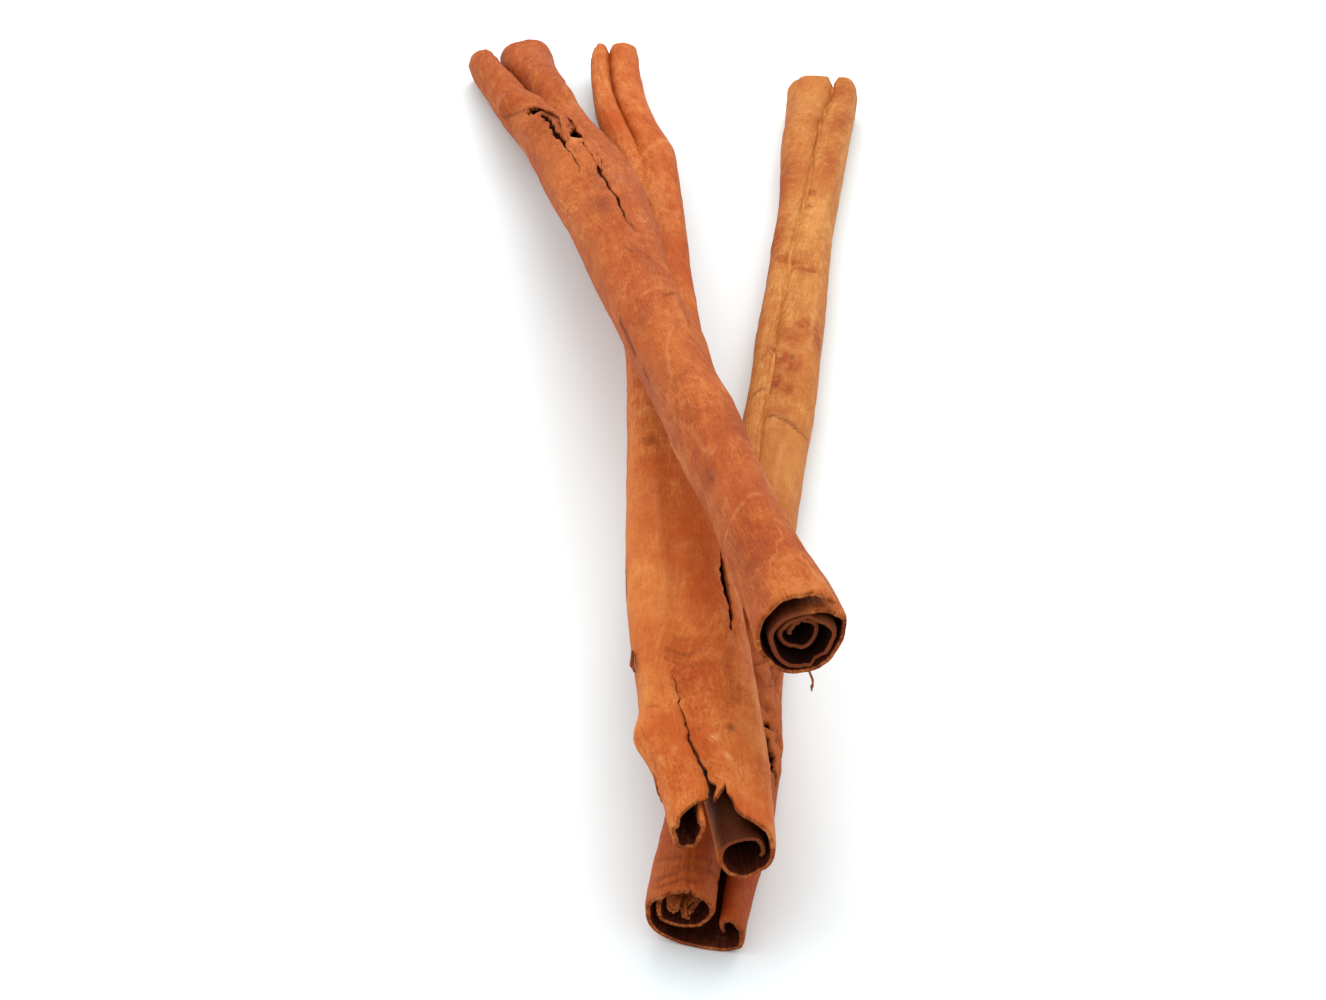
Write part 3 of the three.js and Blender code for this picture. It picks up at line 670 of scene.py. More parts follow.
middleStick = {
    "seed": 200,
    "farY": 79.8,
    "nearY": -78.0,
    "sideways": [-6.32, -5.25, -2.29, -1.18, -0.79, 0.5, 1.2, 1.54, 2.14, 3.47, 5.22],
    "widths": [6.3, 6.64, 7.3, 7.8, 8.5, 8.5, 9.4, 10.4, 10.84, 11.02, 8.9],
    "farRise": -sheet["flatSpot"],
    "nearRise": 8.05,
    "arch": 0,
    "curlsDown": True,
    "edgeWander": 0.06,
    "windings": [
        {
            "at": 0, "height": 4.6, "turns": [-2.4, 3.3],
            "groove": {"x": -0.75, "width": 0.5, "depth": 1.9},
            "left": curl(-2.1, [2, 2, 2], [1.2, 1.0, 1.3, 0.8, 0.7, 0.6]),
            "right": curl(1.3, [2, 2, 2], [2.0, 1.8, 2.0, 1.1, 1.2, 1.0, 1.2, 0.3]),
        },
        {
            "at": 0.13, "height": 5.0, "turns": [-2.3, 3.5],
            "groove": {"x": -0.8, "width": 0.55, "depth": 1.7},
            "left": curl(-2.2, [2, 2, 2.2], [1.7, 1.2, 1.7, 0.9, 0.8, 0.7]),
            "right": curl(1.4, [2, 2, 2.2], [2.2, 2.0, 2.2, 1.3, 1.4, 1.2, 1.4, 0.5]),
        },
        {
            "at": 0.25, "height": 5.4, "turns": [-2.7, 4.4],
            "groove": {"x": -0.75, "width": 0.8, "depth": 0.5},
            "left": curl(-2.2, [2.1, 2, 2.5], [2.4, 1.6, 2.3, 1.2, 1.2, 0.8]),
            "right": curl(1.5, [2.1, 2, 2.5], [2.4, 2.3, 2.4, 1.7, 1.4, 1.4, 1.5, 0.9]),
        },
        {
            "at": 0.42, "height": 5.9, "turns": [-3.2, 5.3],
            "groove": {"x": -0.7, "width": 0.9, "depth": 0.35},
            "left": curl(-2.3, [2.2, 2, 2.8], [2.7, 1.9, 2.6, 1.5, 1.7, 0.9]),
            "right": curl(1.6, [2.2, 2, 2.8], [2.7, 2.6, 2.6, 1.6, 1.65, 1.65, 1.5, 0.7]),
        },
        {
            "at": 0.72, "height": 6.4, "turns": [-3.3, 6.1],
            "groove": {"x": -0.7, "width": 0.9, "depth": 0.3},
            "left": curl(-2.5, [2.2, 2, 2.8], [2.9, 2.1, 2.8, 1.7, 1.9, 1.2]),
            "right": curl(1.9, [2.2, 2, 2.8], [2.9, 2.8, 2.8, 1.9, 1.95, 1.9, 1.8, 1.0]),
        },
        {
            "at": 1, "height": 6.6, "turns": [-3.3, 5.2],
            "groove": {"x": -0.6, "width": 0.9, "depth": 0.9},
            "left": curl(-2.9, [2, 2, 2.2], [1.5, 1.25, 1.6, 1.15, 0.7, 0.6]),
            "right": curl(1.8, [2.2, 2, 2], [4.0, 2.5, 2.0, 2.2, 1.9, 1.65, 1.2, 1.3]),
        },
    ],
    "farEdge": [(-2.7, 3.4), (-1.2, 3.0), (-0.6, 3.2), (-0.3, 0.7), (2, 0.3), (4, 1.5), (6, 0.6)],
    "nearEdge": [
        (-3.3, 1.2), (-2.2, 0.6), (-1.2, 0.8), (-0.9, 1.2), (-0.65, 1.0), (-0.42, 1.6), (-0.35, 2.1),
        (-0.27, 2.8), (-0.18, 3.3), (-0.1, 4.2), (-0.06, 4.9), (-0.04, 5.0), (0, 3.8), (0.05, 2.7),
        (0.1, 1.7), (0.17, 1.1), (0.27, 0.7), (0.4, 0.4), (1, 0.3), (2, 0.1), (3, 0.4), (4, 0.6), (5.3, 1.0),
    ],
    "bumps": [
        {"at": 0.19, "turn": 0.7, "along": 0.03, "around": 0.7, "lift": 0.5},
        {"at": 0.915, "turn": -0.8, "along": 0.016, "around": 0.5, "lift": 0.95},
        {"at": 0.86, "turn": -0.85, "along": 0.03, "around": 0.4, "lift": -0.4},
    ],
    "undulation": 0.09,
    "rowStep": 0.43,
    "shown": [-3.4, 4.6],
    "paintedShadeFrom": [2.8, 2.8],
    "cracks": [
        {
            "from": 0.866, "to": 0.98, "turns": [-0.13, -0.1, -0.08, -0.07, -0.05, -0.02, 0.01],
            "widths": [0.03, 0.06, 0.14, 0.3, 0.4, 0.45, 0.7], "bendReach": 4, "jag": 1,
        },
        {
            "from": 0.745, "to": 0.83, "turns": [0.4, 0.4, 0.395, 0.385],
            "widths": [0.2, 0.6, 0.45, 0.1], "bendReach": 2, "jag": 0.3,
        },
    ],
    "holes": [],
    "scars": [
        {"path": [(-0.02, 133.4), (0.1, 133.8), (0.2, 134.3)], "width": 0.28, "strength": 0.5},
        {"path": [(0.0, 134.9), (0.1, 135.4), (0.2, 135.9)], "width": 0.28, "strength": 0.5},
        {"path": [(0.02, 131.6), (0.14, 132)], "width": 0.28, "strength": 0.4},
        {"path": [(0.12, 139.7), (0.16, 139.9)], "width": 0.3, "strength": 0.35},
        {"path": [(0.24, 141.6), (0.24, 142)], "width": 0.3, "strength": 0.35},
        {"path": [(0.2, 145.2), (0.2, 145.7)], "width": 0.35, "strength": 0.8},
        {"path": [(-0.38, 141.6), (-0.32, 141.4), (-0.26, 141.6)], "width": 0.4, "strength": 0.5},
        {"path": [(0.36, 131), (0.32, 134.7), (0.3, 138.4), (0.3, 141.7)], "width": 0.35, "strength": 0.25},
        {"path": [(-0.22, 98), (-0.2, 99.2)], "width": 0.6, "strength": 0.5},
        {"path": [(-0.86, 118), (-0.84, 122)], "width": 0.5, "strength": 0.8},
    ],
    "veins": [
        {"path": [(0.6, 137), (0.55, 143.4), (0.5, 148)], "width": 0.4, "strength": 0.35},
        {"path": [(0.08, 146.7), (0.08, 147.0)], "width": 0.36, "strength": 0.9},
        {"path": [(0.1, 149.2), (0.1, 149.6)], "width": 0.3, "strength": 0.7},
        {"path": [(-0.24, 147.6), (-0.26, 148)], "width": 0.5, "strength": 0.3},
        {"path": [(-0.46, 148.5), (-0.44, 149)], "width": 0.5, "strength": 0.3},
        {
            "path": [(-0.16, 106.1), (-0.14, 119.7), (-0.16, 132.4), (-0.14, 135)],
            "width": 0.22, "strength": 0.22,
        },
        {"path": [(0.56, 28.9), (0.2, 32.0), (-0.08, 34.5), (-0.22, 38.3)], "width": 0.6, "strength": 0.22},
    ],
    "stains": [
        (0.36, 37, 1.6, 5, 0.6), (0.33, 47, 1.5, 6, 0.55), (0.38, 58, 1.5, 6, 0.5), (0.05, 79, 2.4, 9, 0.6),
        (0.2, 92, 2.2, 9, 0.6), (0.25, 106, 2.0, 8, 0.5), (0.2, 118, 1.8, 6, 0.4),
        (0.1, 137.6, 1.0, 1.8, 0.9), (0.06, 134, 1.4, 1.6, 0.5), (-0.1, 112, 2.2, 6, 0.35),
        (0.2, 125, 1.0, 5, 0.4), (0.5, 60, 1.5, 8, 0.3), (0.3, 26, 0.7, 3, 0.6), (-0.4, 130, 1.2, 4, 0.3),
        (0.3, 43, 1.0, 4, 0.35), (0.45, 150, 0.8, 2, 0.5),
    ],
    "bleachesAndHighlights": [
        (-0.5, 112, 2.6, 9, 0.8), (-0.45, 126, 3.0, 10, 0.9), (-0.4, 138, 2.4, 6, 0.8),
        (-0.1, 130, 2.4, 6, 0.6), (0.3, 146, 1.4, 4, 0.7), (-0.6, 100, 1.2, 5, 0.5),
    ],
    "crumples": [],
}

bottomStick = {
    "seed": 300,
    "farY": 68.5,
    "nearY": -78.6,
    "sideways": [20.3, 18.75, 17.21, 15.53, 13.86, 12.09, 10.0, 8.1, 6.63, 5.18, 2.71],
    "widths": [8.92, 8.01, 6.92, 6.97, 7.06, 7.37, 7.4, 8.3, 8.8, 9.4, 8.73],
    "farRise": -sheet["flatSpot"],
    "nearRise": -sheet["flatSpot"],
    "arch": 0,
    "curlsDown": False,
    "edgeWander": 0.08,
    "windings": [
        {
            "at": 0, "height": 6.0, "turns": [-4.6, 3.5],
            "left": curl(-1.48, [2.2, 2, 7, 2.2], [2.7, 2.7, 2.7, 2.7, 1.7, 1.75, 1.7]),
            "right": curl(3.0, [2.2, 2.2, 7, 2.2], [2.6, 1.4, 2.6, 1.14, 1.3, 0.4, 1.3]),
        },
        {
            "at": 0.11, "height": 5.8, "turns": [-3.8, 3.9],
            "left": curl(-1.97, [2.4, 2.2, 16, 2.5], [2.6, 1.65, 2.6, 1.7, 1.3, 0.8, 1.3]),
            "right": curl(1.99, [2.4, 2.2, 14, 2.5], [2.55, 1.57, 2.57, 1.61, 1.4, 0.9, 1.4]),
        },
        {
            "at": 0.3, "height": 5.7, "turns": [-3.3, 4.6],
            "left": curl(-2.27, [2.4, 2.2, 18, 2.5], [2.52, 0.94, 2.52, 0.96, 1.5, 0.4, 1.5]),
            "right": curl(1.31, [2.4, 2.2, 18, 2.5], [2.55, 1.95, 2.55, 1.99, 1.5, 1.1, 1.55]),
        },
        {
            "at": 0.5, "height": 5.6, "turns": [-3.2, 5.2],
            "left": curl(-2.6, [2.4, 2.2, 14, 2.5], [2.48, 0.82, 2.48, 0.84, 1.5, 0.4, 1.5]),
            "right": curl(1.2, [2.4, 2.2, 14, 2.5], [2.5, 2.22, 2.5, 2.3, 1.5, 1.35, 1.6]),
        },
        {
            "at": 0.78, "height": 6.2, "turns": [-4.2, 4.2],
            "left": curl(-2.25, [2.4, 2.2, 6, 2.4], [2.8, 1.85, 2.8, 1.88, 1.65, 1.0, 1.8]),
            "right": curl(2.25, [2.4, 2.2, 6, 2.4], [2.8, 1.85, 2.7, 1.88, 1.65, 1.0, 1.7]),
        },
        {
            "at": 1, "height": 7.0, "turns": [-5.7, 3.4],
            "left": curl(-1.2, [2.1, 2, 2, 2], [4.1, 2.9, 2.3, 2.7, 2.3, 2.1, 1.5]),
            "right": curl(3.2, [2.2, 2.2, 2.6, 2.2], [1.8, 0.95, 1.7, 0.9, 0.9, 0.3, 0.6]),
        },
    ],
    "farEdge": [(-5.7, 2), (-4.5, 2.5), (-3, 0.6), (4, 0.4)],
    "nearEdge": [
        (-5.8, 1.6), (-4.6, 0.9), (-3, 0.8), (-2, 0.5), (0, 0.3), (1.6, 0.2), (2.4, 0.6), (3.4, 1.4),
    ],
    "bumps": [{"at": 0.84, "turn": 1.2, "along": 0.035, "around": 0.8, "lift": 0.45}],
    "undulation": 0.07,
    "rowStep": 0.4,
    "shown": [-3.4, 3],
    "paintedShadeFrom": [2.8, 2.8],
    "cracks": [],
    "holes": [
        {"turn": 2.62, "length": 30, "across": 0.3, "along": 1.5, "slant": 0},
        {"turn": 1.55, "length": 127.4, "across": 0.7, "along": 1.9, "slant": -0.2},
        {"turn": 1.72, "length": 130.2, "across": 0.34, "along": 0.6, "slant": 0},
        {"turn": 1.78, "length": 123.4, "across": 0.3, "along": 0.5, "slant": 0},
    ],
    "scars": [
        {
            "path": [(2.38, 74.8), (2.16, 75.1), (1.9, 75.9), (1.7, 76.8), (1.36, 76.7)],
            "width": 0.34, "strength": 1,
        },
        {"path": [(2.12, 45.9), (1.98, 46.0), (1.86, 46.2)], "width": 0.34, "strength": 0.9},
        {"path": [(-1.96, 71.2), (-2.14, 69.9)], "width": 0.34, "strength": 0.8},
        {"path": [(2.1, 63.6), (2.14, 64.2)], "width": 0.5, "strength": 0.8},
        {"path": [(2.36, 68.6), (2.38, 69.2)], "width": 0.5, "strength": 0.8},
        {
            "path": [(-1.34, 142.4), (-1.74, 142.7), (-2.26, 142.4), (-2.72, 141.9)],
            "width": 0.5, "strength": 0.45,
        },
        {
            "path": [(-1.38, 144.9), (-1.92, 144.3), (-2.42, 143.8), (-2.98, 142.7)],
            "width": 0.45, "strength": 0.6,
        },
        {"path": [(-1.6, 140.4), (-2.1, 140.9), (-2.4, 140.2)], "width": 0.5, "strength": 0.3},
        {"path": [(-1.5, 145.9), (-2.0, 145.3), (-2.3, 145.4)], "width": 0.4, "strength": 0.7},
        {"path": [(-1.7, 143.7), (-2.1, 143.5), (-2.6, 143)], "width": 0.35, "strength": 0.5},
    ],
    "veins": [
        {"path": [(1.7, 50), (1.74, 56), (1.7, 62)], "width": 0.35, "strength": 0.4},
        {"path": [(2.0, 80), (2.06, 86), (2.02, 92)], "width": 0.35, "strength": 0.4},
    ],
    "stains": [
        (2.36, 64.1, 1.2, 1.9, 1.6), (2.06, 65.5, 1.1, 1.7, 1.5), (2.4, 68.3, 1, 2.1, 1.5),
        (2.14, 69.7, 1.2, 1.3, 1.3), (1.88, 57.6, 1.4, 1.5, 1.3), (1.62, 58.1, 1.2, 2.1, 1.4),
        (1.44, 59.3, 1, 2.1, 1.4), (2.2, 60, 1.6, 1.9, 1.1), (-2.16, 63, 1, 2.6, 1),
        (2.4, 44.6, 1.1, 0.7, 1.3), (2.2, 45.9, 1.2, 0.6, 1.3), (1.92, 45.8, 1.1, 0.6, 0.8),
        (-2.12, 43.9, 1.3, 1.4, 1.3), (-1.3, 12, 1.3, 7, 1), (-1.4, 26, 1.3, 7, 1.3),
        (-1.68, 38.3, 1.5, 5, 1.4), (2.14, 4.1, 1.6, 3, 1.1), (1.9, 11.5, 1.3, 3.6, 1.1),
        (1.92, 21.3, 1.1, 4.6, 1), (-2.1, 12, 1.6, 3.4, 0.5), (2.3, 28.8, 0.6, 1, 1.4),
        # The last patch here, at 141 along, darkens the near end of the right curl: partly its own colour,
        # partly painted shadow from the middle stick over it.
        (2.3, 32, 0.5, 0.8, 1.2), (2.2, 74, 1.8, 1, 0.8), (1.7, 75.6, 1.4, 1, 0.6), (1.7, 141, 3, 7, 0.8),
    ],
    "bleachesAndHighlights": [
        (1.9, 82, 2.2, 6, 0.9), (2.0, 36, 1.4, 6, 0.5), (1.9, 50, 1.6, 4, 0.5), (-1.6, 8, 2, 5, 0.5),
        # The patches at 112 and 119 along lighten the upper part of the crumpled flank as painted highlight.
        (2.14, 112, 1.4, 3, 1.2), (1.85, 119, 1.2, 4, 0.8),
    ],
    "crumples": [(2.0, 106, 2.2, 5, 0.8), (1.75, 115, 2.2, 5, 1), (1.6, 124, 2.0, 5, 1)],
}


# Materials


def fromScreen(colour):  # a colour from 0 to 255 as shown, made linear
    return tuple(((c / 255 + 0.055) / 1.055) ** 2.4 if c > 10 else c / 255 / 12.92 for c in colour) + (1,)


def setSocket(tree, socket, value):
    if isinstance(value, bpy.types.NodeSocket):
        tree.links.new(value, socket)
    else:
        socket.default_value = value


def addNode(tree, kind, inputs=None, **settings):
    node = tree.nodes.new(kind)
    for name, value in settings.items():
        setattr(node, name, value)
    for name, value in (inputs or {}).items():
        setSocket(tree, node.inputs[name], value)
    return node


def maths(tree, operation, a, b=0.0, c=0.0):
    return addNode(tree, "ShaderNodeMath", {0: a, 1: b, 2: c}, operation=operation).outputs[0]


def mixColour(tree, share, a, b, kind="MIX"):
    inputs = {0: share, 6: a, 7: b}  # the factor and the two colours among the node's sockets
    settings = {"data_type": "RGBA", "blend_type": kind, "clamp_factor": True}
    return addNode(tree, "ShaderNodeMix", inputs, **settings).outputs[2]


def between(tree, value, low, high):  # 0 below low, 1 above high
    inputs = {"Value": value, "From Min": low, "From Max": high}
    return addNode(tree, "ShaderNodeMapRange", inputs, interpolation_type="SMOOTHSTEP").outputs["Result"]


def scaled(tree, place, factors):
    return addNode(tree, "ShaderNodeVectorMath", {0: place, 1: factors}, operation="MULTIPLY").outputs[0]


def noise(tree, place, sizes, detail, roughness):  # bumps of the given sizes, in millimetres
    sized = scaled(tree, place, tuple(1 / size for size in sizes))
    inputs = {"Vector": sized, "Scale": 1.0, "Detail": detail, "Roughness": roughness}
    return addNode(tree, "ShaderNodeTexNoise", inputs).outputs["Fac"]


def attribute(tree, name):
    return addNode(tree, "ShaderNodeAttribute", attribute_name=name).outputs["Fac"]


def newGroup(name, inputs, outputs):
    tree = bpy.data.node_groups.new(name, "ShaderNodeTree")
    for socketName, kind in inputs:
        tree.interface.new_socket(socketName, in_out="INPUT", socket_type=kind)
    for socketName, kind in outputs:
        tree.interface.new_socket(socketName, in_out="OUTPUT", socket_type=kind)
    return tree, tree.nodes.new("NodeGroupInput"), tree.nodes.new("NodeGroupOutput")


pattern = {
    "noises": {  # sizes round, along and through, detail and roughness
        "blotch": ((6, 10, 6), 3, 0.55),
        "grain": ((0.28, 0.4, 0.28), 2, 0.55),
        "lined": ((6, 9, 6), 1, 0.55),
        "flush": ((9, 14, 9), 4, 0.6),
        "mottle": ((1.1, 2.0, 1), 5, 0.65),
        "fibre": ((0.17, 3.2, 1), 3, 0.6),
        "patch": ((1.7, 2.8, 1), 5, 0.7),
        "dash": ((0.13, 1.1, 1), 1, 0.55),
        "contour": ((4, 16, 1), 3, 0.55),
    },
    "onSurface": ("mottle", "fibre", "patch", "dash", "contour"),  # these follow the rolled sheet
    "ranges": {"patch": (0.53, 0.6), "dash": (0.68, 0.76), "lined": (0.5, 0.62), "flush": (0.45, 0.62)},
    "contours": 5.0,  # fine pale lines run along the contours of a noise
    "contourRange": (0.42, 0.49),
    "tone": {"blotch": 1.0, "mottle": 1.2, "fibre": 0.9, "grain": 0.8},
    "height": {"grain": 0.7, "fibre": 0.8, "mottle": 1.2, "line": 0.35, "dash": -0.5},
}


def makeToneGroup():
    outputs = ("Tone", "Flush", "Patch", "Dash", "Line", "Height")
    tree, given, made = newGroup(
        "barkTone",
        [("Surface", "NodeSocketVector"), ("Place", "NodeSocketVector")],
        [(name, "NodeSocketFloat") for name in outputs],
    )
    layers = {}
    for name, settings in pattern["noises"].items():
        place = given.outputs["Surface" if name in pattern["onSurface"] else "Place"]
        layers[name] = noise(tree, place, *settings)
    for name, limits in pattern["ranges"].items():
        layers[name] = between(tree, layers[name], *limits)
    contour = maths(tree, "PINGPONG", maths(tree, "MULTIPLY", layers["contour"], pattern["contours"]), 0.5)
    crest = between(tree, contour, *pattern["contourRange"])
    layers["line"] = maths(tree, "MULTIPLY", crest, layers["lined"])
    layers["tone"] = 0.5
    for name, weight in pattern["tone"].items():
        centred = maths(tree, "SUBTRACT", layers[name], 0.5)
        layers["tone"] = maths(tree, "MULTIPLY_ADD", centred, weight, layers["tone"])
    layers["height"] = 0.0
    for name, weight in pattern["height"].items():
        layers["height"] = maths(tree, "MULTIPLY_ADD", layers[name], weight, layers["height"])
    for name in outputs:
        tree.links.new(layers[name.lower()], made.inputs[name])
    return tree


def colourRamp(tree, value, positions, colours):
    node = addNode(tree, "ShaderNodeValToRGB", {"Fac": value})
    ramp = node.color_ramp
    while len(ramp.elements) < len(positions):
        ramp.elements.new(0.5)
    for element, position, colour in zip(ramp.elements, positions, colours):
        element.position = position
        element.color = fromScreen(colour)
    return node.outputs["Color"]


barkTone = makeToneGroup()
finish = {
    "toneStops": (0.15, 0.42, 0.58, 0.85),
    "bleachAndHighlightShare": 0.7,  # how strongly each kind of mark, and the painted shade and highlight, colours the bark
    "stainShare": 0.85,
    "paleShare": 0.8,
    "darkShare": 0.9,
    "paintedShadeShare": 0.9,
    "ragged": ((0.7, 0.9, 1), 4, 0.7),  # the noise that breaks up the stains' edges
    "raggedRange": (0.34, 0.56),
    "raggedShare": 0.7,
    "bumpStrength": 0.6,
    "bumpHeight": 0.14,
}


def makeBark(name, look):
    material = bpy.data.materials.new(name)
    material.use_nodes = True
    tree = material.node_tree
    shader = tree.nodes["Principled BSDF"]
    surface = addNode(tree, "ShaderNodeUVMap", uv_map="surface").outputs[0]
    inMetres = addNode(tree, "ShaderNodeTexCoord").outputs["Object"]
    place = scaled(tree, inMetres, (1 / millimetre,) * 3)
    tone = addNode(tree, "ShaderNodeGroup", node_tree=barkTone)
    tree.links.new(surface, tone.inputs["Surface"])
    tree.links.new(place, tone.inputs["Place"])
    colour = colourRamp(tree, tone.outputs["Tone"], finish["toneStops"], look["tones"])
    ragged = between(tree, noise(tree, surface, *finish["ragged"]), *finish["raggedRange"])
    broken = maths(tree, "MULTIPLY_ADD", ragged, finish["raggedShare"], 1 - finish["raggedShare"])
    stained = maths(tree, "MULTIPLY", attribute(tree, "stain"), broken)
    for share, strength, tint in (
        # bleach carries pale patches, and on the bottom stick's crumpled flank some painted highlight
        (attribute(tree, "bleachAndHighlight"), finish["bleachAndHighlightShare"], "bleachAndHighlight"),
        (tone.outputs["Flush"], look["flushShare"], "flush"),
        (tone.outputs["Patch"], look["patchShare"], "patch"),
        (tone.outputs["Dash"], look["dashShare"], "speck"),
        (tone.outputs["Line"], look["lineShare"], "vein"),
        (stained, finish["stainShare"], "stain"),
        (attribute(tree, "pale"), finish["paleShare"], "vein"),
        # dark carries the scars and the painted shade in the creases
        (attribute(tree, "dark"), finish["darkShare"], "scarAndCreaseShade"),
        # inside carries the painted shade on the deep turns of the roll
        (attribute(tree, "inside"), finish["paintedShadeShare"], "paintedShade"),
    ):
        colour = mixColour(tree, maths(tree, "MULTIPLY", share, strength), colour, fromScreen(look[tint]))
    # towards its near end a stick may be multiplied darker: its own redder colour there, and painted shadow
    # from the stick lying over it
    if "nearColourAndShadow" in look:
        nearEndShare = between(tree, attribute(tree, "along"), *look["nearStretch"])
        colour = mixColour(tree, nearEndShare, colour, fromScreen(look["nearColourAndShadow"]), "MULTIPLY")
    tree.links.new(colour, shader.inputs["Base Color"])
    shader.inputs["Roughness"].default_value = look["roughness"]
    shader.inputs["Specular IOR Level"].default_value = look["specular"]
    bump = addNode(tree, "ShaderNodeBump", {
        "Height": tone.outputs["Height"],
        "Strength": finish["bumpStrength"],
        "Distance": finish["bumpHeight"] * millimetre,
    })
    tree.links.new(bump.outputs["Normal"], shader.inputs["Normal"])
    return material


# In each look, the colour for the deep turns of a roll is painted shade.
looks = {
    "top": {
        "tones": [(144, 62, 19), (163, 77, 26), (173, 88, 34), (186, 107, 50)],
        "flush": (156, 67, 26), "patch": (150, 62, 22), "stain": (118, 46, 24), "speck": (112, 44, 16),
        "scarAndCreaseShade": (76, 28, 14), "vein": (206, 136, 80), "paintedShade": (72, 28, 14), "bleachAndHighlight": (196, 116, 52),
        "flushShare": 0.45, "patchShare": 0.2, "dashShare": 0.35, "lineShare": 0.3,
        "roughness": 0.68, "specular": 0.12,
    },
    "middle": {
        "tones": [(164, 73, 24), (181, 92, 37), (190, 105, 48), (202, 122, 66)],
        "flush": (175, 75, 24), "patch": (170, 77, 31), "stain": (156, 56, 16), "speck": (126, 46, 14),
        "scarAndCreaseShade": (84, 28, 10), "vein": (226, 168, 104), "paintedShade": (40, 10, 5), "bleachAndHighlight": (200, 121, 57),
        "flushShare": 0.6, "patchShare": 0.25, "dashShare": 0.25, "lineShare": 0.12,
        "roughness": 0.66, "specular": 0.09,
    },
    "bottom": {
        "tones": [(164, 91, 32), (181, 111, 45), (191, 124, 57), (204, 142, 77)],
        "flush": (178, 97, 33), "patch": (174, 97, 37), "stain": (156, 70, 14), "speck": (136, 66, 22),
        "scarAndCreaseShade": (112, 52, 18), "vein": (216, 158, 96), "paintedShade": (62, 26, 12), "bleachAndHighlight": (206, 146, 76),
        "flushShare": 0.45, "patchShare": 0.4, "dashShare": 0.55, "lineShare": 0.15,
        # The bottom stick's near end is multiplied darker: its own redder colour, and painted shadow from the
        # middle stick over it.
        "roughness": 0.7, "specular": 0.2, "nearColourAndShadow": (220, 168, 132), "nearStretch": (0.5, 0.86),
    },
    # The inside faces of the bark: the inner bark's own red-brown, darkened further as painted shade inside
    # the rolls.
    "inner": {
        "tones": [(36, 11, 7), (52, 18, 10), (64, 25, 14), (98, 46, 27)],
        "flush": (60, 22, 10), "patch": (56, 20, 10), "stain": (50, 18, 8), "speck": (40, 14, 8),
        "scarAndCreaseShade": (40, 14, 8), "vein": (120, 66, 40), "paintedShade": (26, 9, 6), "bleachAndHighlight": (90, 40, 20),
        "flushShare": 0.4, "patchShare": 0.4, "dashShare": 0.4, "lineShare": 0,
        "roughness": 0.85, "specular": 0.05,
    },
    "rim": {
        "tones": [(96, 40, 16), (134, 64, 28), (154, 80, 38), (184, 114, 62)],
        "flush": (136, 62, 28), "patch": (92, 40, 18), "stain": (104, 44, 20), "speck": (60, 24, 12),
        "scarAndCreaseShade": (70, 28, 14), "vein": (196, 132, 78), "paintedShade": (108, 50, 26), "bleachAndHighlight": (172, 100, 52),
        "flushShare": 0.3, "patchShare": 0.5, "dashShare": 0.6, "lineShare": 0.3,
        "roughness": 0.85, "specular": 0.08,
    },
}
innerBarkAndShade = makeBark("innerBarkAndShade", looks["inner"])
brokenRim = makeBark("brokenRim", looks["rim"])
print("materials made")

for nodeName, slotName, pieceName, stick, look in (
    ("top_stick", "bark_top", "topBark", topStick, looks["top"]),
    ("middle_stick", "bark_middle", "middleBark", middleStick, looks["middle"]),
    ("bottom_stick", "bark_bottom", "bottomBark", bottomStick, looks["bottom"]),
):
    stick["slot"] = slotName
    stick["bark"] = makeBark(f"{pieceName}Outer", look)
    piece = makeSheet(pieceName, stick, [stick["bark"], innerBarkAndShade, brokenRim])
    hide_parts(nodeName)
    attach(piece, "root")

